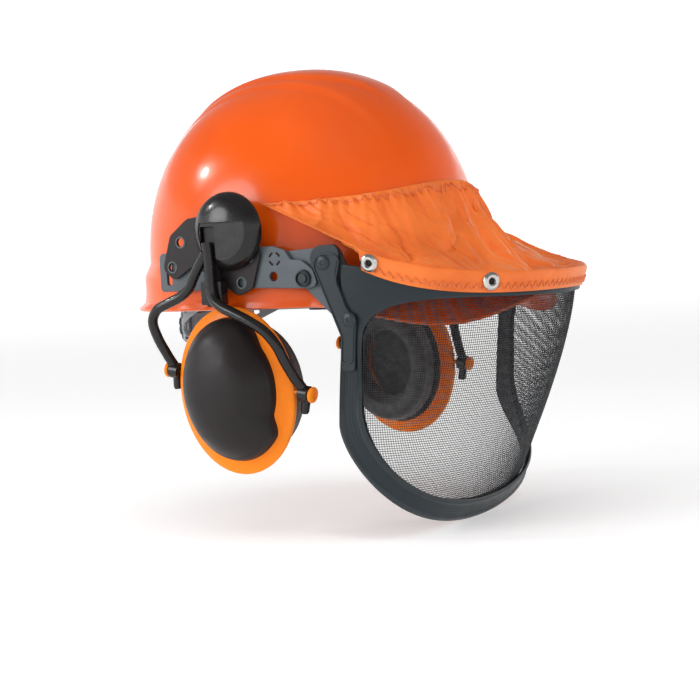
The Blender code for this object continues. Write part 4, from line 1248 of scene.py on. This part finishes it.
def drape(piece):
    """Lets the pleated grid settle as slack cloth between its fixed edges."""
    width = COVER_COLUMNS + 1
    places = [divmod(i, width) for i in range(len(piece.data.vertices))]
    held = [
        i for i, (r, c) in enumerate(places)
        if r <= 1 or r >= int(FOLD_SHARE * COVER_ROWS) or c <= 5 or c >= COVER_COLUMNS - 5
    ]
    move = simulate_cloth(
        piece, held, frames=25, most=0.0060, quality=6, mass=0.15, shrink_min=-0.07, gravity=0.15,
        tension_stiffness=12, compression_stiffness=12, shear_stiffness=3, bending_stiffness=0.05,
        tension_damping=8, compression_damping=8,
    )
    move = move.reshape(-1, width, 3)
    for _ in range(2):
        move[1:-1] = (move[:-2] + 2 * move[1:-1] + move[2:]) / 4
        move[:, 1:-1] = (move[:, :-2] + 2 * move[:, 1:-1] + move[:, 2:]) / 4
    shift_points(piece, move.reshape(-1, 3))


def clear_of_shell(point, gap):
    """The point, lifted off the dome where it would lie in it."""
    if point.z < DOME_WIDEST_Z + 0.001:
        return point
    height = min(0.999, (point.z - DOME_WIDEST_Z) / (DOME_HEIGHT + gap))
    level = (1 - height ** DOME_ROUNDNESS) ** (1 / DOME_ROUNDNESS)
    across = abs(point.x / (DOME_HALF_WIDTH + gap)) ** DOME_ROUNDNESS
    along = abs((point.y - DOME_CENTRE_Y) / (DOME_HALF_LENGTH + gap)) ** DOME_ROUNDNESS
    reach = (across + along) ** (1 / DOME_ROUNDNESS)
    if reach >= level:
        return point
    grow = level / max(reach, 1e-6)
    return Vector((point.x * grow, DOME_CENTRE_Y + (point.y - DOME_CENTRE_Y) * grow, point.z))


def on_cover(rows, u, v, lift=0.0):
    """A point on the draped cover, lifted off it."""
    c, r = u * COVER_COLUMNS, v * COVER_ROWS
    c0, r0 = min(int(c), COVER_COLUMNS - 1), min(int(r), COVER_ROWS - 1)
    fc, fr = c - c0, r - r0
    near = rows[r0][c0].lerp(rows[r0][c0 + 1], fc)
    far = rows[r0 + 1][c0].lerp(rows[r0 + 1][c0 + 1], fc)
    around = rows[r0][c0 + 1] - rows[r0][c0]
    down = rows[r0 + 1][c0] - rows[r0][c0]
    return near.lerp(far, fr) + down.cross(around).normalized() * lift


def zigzag(rows, low, high, steps, lift):
    """A zigzag thread on the cover between two shares of its depth."""
    route = []
    for i in range(steps + 1):
        u = 0.004 + 0.992 * i / steps
        if route:
            route.append(on_cover(rows, u - 0.496 / steps, (low + high) / 2, lift))
        route.append(on_cover(rows, u, high if i % 2 else low, lift))
    return route


def make_cover():
    """The gathered nylon cover, its zigzag seams and its eyelets."""
    rows = surface_rows(pleated_point, COVER_COLUMNS, COVER_ROWS)
    mesh = grid_mesh("cover_cloth", rows, metres=(0.42, 0.16))
    cover = new_piece("cover_cloth", mesh, NYLON, None)
    drape(cover)
    width = COVER_COLUMNS + 1
    normals = [vertex.normal.copy() for vertex in mesh.vertices]
    for i, vertex in enumerate(mesh.vertices):
        r, c = divmod(i, width)
        crease = normals[i] * crease_height(c / COVER_COLUMNS, r / COVER_ROWS)
        vertex.co = clear_of_shell(vertex.co + crease, 0.0009)
    points = [vertex.co.copy() for vertex in mesh.vertices]
    settled = [points[i : i + width] for i in range(0, len(points), width)]
    add_solidify(cover, COVER_THICKNESS, offset=1.0, even=False)
    for name, low, high, steps in (("top", 0.014, 0.042, 104), ("hem", 0.915, 0.970, 112)):
        seam = sweep(f"seam_{name}", zigzag(settled, low, high, steps, 0.0006), 0.00038, 6)
        made = new_piece(f"seam_{name}", seam, ORANGE_THREAD, None)
        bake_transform(made)
    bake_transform(cover)
    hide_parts("rain_cover")
    ring = [
        (0.0024, 0.0022), (0.0030, 0.0027), (0.0044, 0.0026), (0.0056, 0.0017), (0.0060, 0.0009),
        (0.0052, 0.0007), (0.0023, 0.0007), (0.0020, 0.0010), (0.0020, -0.0024), (0.0022, -0.0024),
        (0.0024, 0.0004),
    ]
    plug = [(0.0, 0.0010), (0.0021, 0.0010), (0.0021, -0.0020), (0.0, -0.0020)]
    for name, angle in SNAP_ANGLES.items():
        middle = cover_point(angle, 0.9)
        around = cover_point(angle + 0.02, 0.9) - cover_point(angle - 0.02, 0.9)
        out = around.cross(cover_point(angle, 0.8) - middle).normalized()
        place = facing(middle, out)
        turned_pair(f"eyelet_{name}", ring, place, STEEL, "visor", f"cover_snap_{name}", 40)
        new_pair(f"eyelet_hole_{name}", lathe("hole", plug, place, 24), BLACK_PLASTIC, "visor", edges=False)


# ---- ear muffs ----


def cup_place():
    lean = Matrix.Rotation(CUP_LEAN, 4, "X")
    return Matrix.Translation(CUP_CENTRE) @ lean @ Matrix.Rotation(math.pi / 2, 4, "Y")


def make_brackets():
    """The plate on the carrier, the rims of its holes, painted pale as a highlight, and the slotted cap that
    swings on it.
    """
    outline = [
        (0.027, 0.064, 0.007), (0.042, 0.053, 0.006), (0.0495, 0.030, 0.006), (0.040, 0.0215, 0.006),
        (0.024, 0.031, 0.006), (0.004, 0.0215, 0.006), (-0.013, 0.0095, 0.006),
        (-0.025, 0.014, 0.006), (-0.033, 0.038, 0.006), (-0.024, 0.056, 0.007), (-0.009, 0.068, 0.010),
    ]
    places = [(0.033, 0.048), (0.041, 0.031), (-0.023, 0.036), (-0.0165, 0.0185)]
    holes = [circle(place, 0.0030) for place in places] + [circle(SWING_AXIS, 0.0033)]
    plate = plate_mesh("bracket", [rounded(outline)] + holes, BRACKET_FACES)
    new_pair("bracket", plate, BLACK_PLASTIC, "helmet", "bracket_plate")
    rim = [(0.0031, 0.0005), (0.0037, 0.0006), (0.0043, 0.0001), (0.0043, -0.0003), (0.0031, -0.0003)]
    # The rims are drawn pale: a painted highlight on black plastic rims.
    for number, place in enumerate(places):
        mesh = lathe("rim", rim, outward(*place, BRACKET_FACES[1]), 32)
        new_pair(f"bracket_rim_{number}", mesh, RIM_HIGHLIGHT_PLASTIC, "helmet", edges=False)
    profile = [
        (0.0, 0.1302), (0.0060, 0.1302), (0.0100, 0.1299), (0.0150, 0.1290), (0.0195, 0.1274),
        (0.0232, 0.1251), (0.0256, 0.1224), (0.0266, 0.1199), (0.0268, 0.1180), (0.0264, 0.1176),
        (0.0034, 0.1176), (0.0034, 0.1246), (0.0, 0.1246),
    ]
    cap = placed("swivel_cap", lathe("swivel_cap", profile, outward(*SWING_AXIS), 112))
    x, z = FLIP_AXIS
    recess = [point for point in circle(SWING_AXIS, 0.0190, 72) if point.y < CAP_LEDGE_Z]
    recess.sort(key=lambda point: math.atan2(SWING_AXIS[1] - point.y, point.x - SWING_AXIS[0]))
    cuts = [
        plate_mesh("recess", [recess], (0.1268, 0.1330), edge=0.0002),
        block("slot", (0.1189, ARM_Y - 0.0058, 0.020), (0.1330, ARM_Y + 0.0058, z - 0.0022), edge=0.0006),
        block("cavity", (0.1189, ARM_Y - 0.0057, 0.045), (0.1264, ARM_Y + 0.0057, z + 0.0046), edge=0.0003),
        lathe("bore", [(0.0, 0.025), (0.0015, 0.025), (0.0015, -0.025), (0.0, -0.025)],
              facing((x, 0.0145, z), (0, 1, 0)), 24),
    ]
    cutters = [placed(f"cap_cutter_{number}", mesh) for number, mesh in enumerate(cuts)]
    for cutter in cutters:
        modifier = cap.modifiers.new(cutter.name, "BOOLEAN")
        setup(modifier, operation="DIFFERENCE", solver="EXACT", object=cutter)
    add_bevel(cap, 0.0005, 2, angle=45)
    mesh = applied(cap)
    for item in cutters + [cap]:
        bpy.data.objects.remove(item)
    new_pair("swivel_cap", mesh, GLOSS_PLASTIC, "{}_swivel", "pivot_cap")


def make_yokes():
    """The sliding hub, its two bent strands and the eyes that hold the cup."""
    low, high = HUB_LEVELS
    wall, hole = 0.0084, 0.0053
    parts = [
        block("hub", (*start, low), (*end, high), edge=edge)
        for start, end, edge in (
            ((0.1176, ARM_Y - wall), (0.1196, ARM_Y + wall), 0.0009),
            ((0.1246, ARM_Y - wall), (0.1264, ARM_Y + wall), 0.0008),
            ((0.1180, ARM_Y - wall), (0.1262, ARM_Y - hole), 0.0013),
            ((0.1180, ARM_Y + hole), (0.1262, ARM_Y + wall), 0.0013),
        )
    ]
    front = [
        (0.1282, 0.0030, 0.0470), (0.1282, 0.0018, 0.0300), (0.1282, 0.0018, 0.0180),
        (0.1284, 0.0000, 0.0090), (0.1287, -0.0070, 0.0030), (0.1290, -0.0165, -0.0012),
        (0.1290, -0.0290, -0.0070), (0.1282, -0.0405, -0.0142), (0.1260, -0.0480, -0.0240),
        (0.1230, -0.0520, -0.0350), (0.1192, -0.0565, -0.0460), FRONT_EYE, (0.1145, -0.0600, -0.0705),
    ]
    rear = [
        (0.1279, 0.0045, 0.0400), (0.1275, 0.0105, 0.0320), (0.1265, 0.0165, 0.0240),
        (0.1258, 0.0215, 0.0165), (0.1256, 0.0300, 0.0105), (0.1262, 0.0400, 0.0065),
        (0.1262, 0.0500, 0.0020), (0.1250, 0.0550, -0.0065), (0.1225, 0.0530, -0.0180),
        (0.1185, 0.0488, -0.0300), REAR_EYE, (0.1150, 0.0440, -0.0540),
    ]
    along = (REAR_EYE - FRONT_EYE).normalized()
    eye_profile = [
        (0.0017, 0.0042), (0.0044, 0.0042), (0.0056, 0.0034), (0.0056, -0.0034), (0.0044, -0.0042),
        (0.0017, -0.0042),
    ]
    for route, eye in ((front, FRONT_EYE), (rear, REAR_EYE)):
        points = smooth_route(route)
        count = len(points) - 1
        radii = [STRAND_RADIUS * (0.86 + 0.14 * min(1.0, 8 * (1 - i / count))) for i in range(count + 1)]
        radii[-1] *= 0.75
        parts.append(sweep("strand", points, radii, 24, squeeze=0.94))
        parts.append(lathe("eye", eye_profile, facing(eye, along), 40))
    new_pair("fork", joined("fork", parts), GLOSS_PLASTIC, "{}_fork", "yoke")


def make_cups():
    """The cup, its cover with a raised rim line, the plate, the liner and the pivot buttons."""
    out = cup_place()
    cup = [
        (0.0, 0.1372), (0.0140, 0.1366), (0.0260, 0.1345), (0.0350, 0.1302), (0.0405, 0.1250),
        (0.0440, 0.1216), (0.0480, 0.1201), (0.0525, 0.1188), (0.0562, 0.1176), (0.0577, 0.1163),
        (0.0580, 0.1150), (0.0578, 0.1134), (0.0568, 0.1123), (0.0480, 0.1118), (0.0480, 0.1072),
        (0.0420, 0.1072), (0.0415, 0.1180), (0.0385, 0.1225), (0.0240, 0.1312), (0.0, 0.1339),
    ]
    turned_pair("cup_bowl", cup, out, CUP_PLASTIC, "{}_muff", "cup", 120, CUP_SLIMNESS)
    cover = [
        (0.0, 0.1450), (0.0080, 0.1449), (0.0160, 0.1443), (0.0240, 0.1430), (0.0310, 0.1408),
        (0.0370, 0.1377), (0.0420, 0.1336), (0.0455, 0.1290), (0.0466, 0.1276), (0.0479, 0.1264),
        (0.0489, 0.1235), (0.0495, 0.1200), (0.0493, 0.1189), (0.0482, 0.1187), (0.0462, 0.1258),
        (0.0300, 0.1372), (0.0, 0.1402),
    ]
    lid = lathe("cup_lid", cover, Matrix.Identity(4), 144, CUP_SLIMNESS)
    # The waist is in the lid's front edge. It is gone 48 degrees below level and 66 above.
    for vertex in lid.vertices:
        turn = math.degrees(math.atan2(-vertex.co.x, -vertex.co.y / CUP_SLIMNESS))
        waist = soft_step((turn + 48) / 18) * soft_step((66 - turn) / 34)
        share = LID_WAIST * waist * soft_step((vertex.co.xy.length - 0.012) / 0.024)
        vertex.co.xy *= 1 - share
    lid.transform(Matrix.Translation(COVER_SHIFT) @ out)
    new_pair("cup_lid", lid, BLACK_PLASTIC, "{}_muff", "cup_cover")
    plate = [
        (0.0476, 0.1068), (0.0480, 0.1063), (0.0480, 0.1049), (0.0476, 0.1045), (0.0340, 0.1045),
        (0.0340, 0.1068),
    ]
    turned_pair("seat_plate", plate, out, BLACK_PLASTIC, "{}_muff", "cushion_plate", 96, CUP_SLIMNESS)
    liner = [
        (0.0, 0.1168), (0.0120, 0.1165), (0.0240, 0.1168), (0.0340, 0.1172), (0.0360, 0.1185),
        (0.0360, 0.1222), (0.0340, 0.1230), (0.0, 0.1230),
    ]
    pads = turned_pair("liner_pad", liner, out, FOAM, "{}_muff", "cup_liner", 72, CUP_SLIMNESS, 3, False)
    along = (REAR_EYE - FRONT_EYE).normalized()
    button = [
        (0.0, 0.0070), (0.0022, 0.0071), (0.0028, 0.0078), (0.0040, 0.0077), (0.0052, 0.0070),
        (0.0056, 0.0060), (0.0050, 0.0047), (0.0013, 0.0047), (0.0013, -0.0115), (0.0, -0.0115),
    ]
    for name, eye, direction in (("front", FRONT_EYE, -along), ("rear", REAR_EYE, along)):
        place = facing(eye, direction)
        turned_pair(f"button_{name}", button, place, CUP_PLASTIC, "{}_muff", f"pivot_button_{name}", 40)


def swell(piece, pressure, most):
    """Puffs a closed pad up as cloth under pressure, each point by this much at most."""
    setup(piece.modifiers.new("remesh", "REMESH"), mode="VOXEL", voxel_size=0.0028)
    piece.data = applied(piece)
    piece.modifiers.clear()
    held = [i for i, vertex in enumerate(piece.data.vertices) if vertex.co.x > SEAT_PLATE_X]
    move = simulate_cloth(
        piece, held, frames=20, most=most, gravity=0.0, use_pressure=True, uniform_pressure_force=pressure
    )
    shift_points(piece, move)


def make_cushions():
    """The ear cushions: a soft ring, puffed up, with a seam round it and creases towards its hole."""
    out = cup_place()
    ring = [
        (0.0446, 0.1034), (0.0462, 0.1000), (0.0462, 0.0950), (0.0456, 0.0895), (0.0438, 0.0850),
        (0.0412, 0.0832), (0.0370, 0.0830), (0.0330, 0.0832), (0.0290, 0.0855), (0.0270, 0.0895),
        (0.0264, 0.0950), (0.0266, 0.1000), (0.0280, 0.1036),
    ]
    mesh = lathe("cushion_ring", ring, out, 72, CUP_SLIMNESS)
    pad = placed("cushion_ring", mesh)
    swell(pad, pressure=3.0, most=0.0012)
    inverse = out.inverted()
    for vertex in pad.data.vertices:
        local = inverse @ vertex.co
        local.y /= CUP_SLIMNESS
        radius, angle = local.xy.length, math.atan2(local.y, local.x)
        seam = bump(local.z, 0.0915, 0.0016) * soft_step((radius - 0.040) / 0.004)
        creases = 0.00035 * math.sin(38 * angle) * soft_step((0.0315 - radius) / 0.004)
        pull = 1 - (0.0011 * seam + creases) / radius
        local.x *= pull
        local.y *= pull * CUP_SLIMNESS
        vertex.co = out @ local
    mesh = pad.data
    bpy.data.objects.remove(pad)
    for piece in new_pair("cushion_ring", mesh, VINYL, "{}_muff", "cushion", edges=False):
        setup(piece.modifiers.new("rounding", "SUBSURF"), levels=1, render_levels=1)


def dress_cad_nodes():
    """Finished materials and softened edges for the CAD nodes that are shown as they are."""
    for side in ("left", "right"):
        dress(f"swing_arm_{side}", BLACK_PLASTIC, 0.0005)
        dress(f"nape_arm_{side}", HARNESS_PLASTIC, 0.0003)
        for pin in ("swing_pin", "flip_pin"):
            dress(f"{pin}_{side}", STEEL, 0.0002)
        for end in ("front", "rear"):
            dress(f"anchor_key_{end}_{side}", HARNESS_PLASTIC, 0.0005)
    dress("headband", HARNESS_PLASTIC, 0.0003)
    dress("ratchet_housing", HARNESS_PLASTIC, 0.0)
    dress("ratchet_pinion", STEEL, 0.0002)
    dress("visor_clamp", FRAME_PLASTIC, 0.0004)


# ---- stage ----


def make_stage():
    """A plain pale floor that rises into a backdrop far out, soft light and the photograph's camera."""
    rise = [(0.0, 0.0), (3.0, 0.0), (4.4, 0.10), (5.4, 0.50), (5.9, 1.10), (6.0, 1.80)]
    floor_mesh = lathe("floor", rise, Matrix.Identity(4), 96, smooth=6)
    shade_smooth(floor_mesh)
    floor = placed("floor", floor_mesh)
    floor.location.z = CAD_BOX[0].z - 0.0005
    paint = Finish("floor_paint", Roughness=0.7)
    paint.shader.inputs["Base Color"].default_value = (0.80, 0.80, 0.80, 1.0)
    paint.shader.inputs["Emission Color"].default_value = (1.0, 1.0, 1.0, 1.0)
    reach = paint.nodes.new("ShaderNodeVectorMath")
    reach.operation = "LENGTH"
    paint.links.new(paint.coordinates, reach.inputs[0])
    glow = paint.ranged(reach.outputs["Value"], 0.34, 0.74, 1.0, 5.0)
    paint.links.new(glow, paint.shader.inputs["Emission Strength"])
    floor_mesh.materials.append(paint.material)

    world = bpy.data.worlds.new("studio")
    world.use_nodes = True
    tree = world.node_tree
    direction = tree.nodes.new("ShaderNodeTexCoord").outputs["Generated"]
    split = tree.nodes.new("ShaderNodeSeparateXYZ")
    tree.links.new(direction, split.inputs["Vector"])
    fade = map_range(tree, split.outputs["Z"], 0.88, 0.26, 0.06, 0.55)
    tree.links.new(fade, tree.nodes["Background"].inputs["Strength"])
    tree.nodes["Background"].inputs["Color"].default_value = (1.0, 1.0, 1.0, 1.0)
    bpy.context.scene.world = world
    bpy.context.scene.view_settings.view_transform = "Standard"

    lamps = (
        ("glint", (-0.70, 1.27, 0.90), 0.13, 5.0, True),
        ("overhead", (-0.60, -0.30, 2.30), 2.80, 26.0, False),
        ("front", (-0.10, -1.90, 0.75), 1.60, 8.0, False),
        ("side", (-1.50, 1.05, 0.62), 0.90, 14.0, True),
    )
    for name, place, size, power, mirrored in lamps:
        light = setup(bpy.data.lights.new(name, "AREA"), shape="DISK", size=size, energy=power)
        lamp = placed(name, light)
        lamp.visible_glossy = mirrored
        lamp.matrix_world = facing(place, Vector(place) - LAMP_TARGET)

    back = Vector((
        math.sin(VIEW_AZIMUTH) * math.cos(VIEW_ELEVATION),
        -math.cos(VIEW_AZIMUTH) * math.cos(VIEW_ELEVATION),
        math.sin(VIEW_ELEVATION),
    ))
    level_right = Vector((math.cos(VIEW_AZIMUTH), math.sin(VIEW_AZIMUTH), 0.0))
    level_up = back.cross(level_right)
    right = level_right * math.cos(VIEW_ROLL) - level_up * math.sin(VIEW_ROLL)
    up = level_up * math.cos(VIEW_ROLL) + level_right * math.sin(VIEW_ROLL)
    lens = setup(bpy.data.cameras.new("camera"), lens=VIEW_LENS, sensor_width=36, clip_start=0.05)
    camera = placed("camera", lens)
    turn = Matrix((right, up, back)).transposed().to_4x4()
    camera.matrix_world = Matrix.Translation(VIEW_TARGET + back * VIEW_DISTANCE) @ turn
    bpy.context.scene.camera = camera


make_stage()
make_shell()
make_sweatband()
make_crown_straps()
make_knob()
make_visor_frame()
make_visor_wires()
make_visor_arms()
make_cover()
make_brackets()
make_yokes()
make_cups()
make_cushions()
dress_cad_nodes()
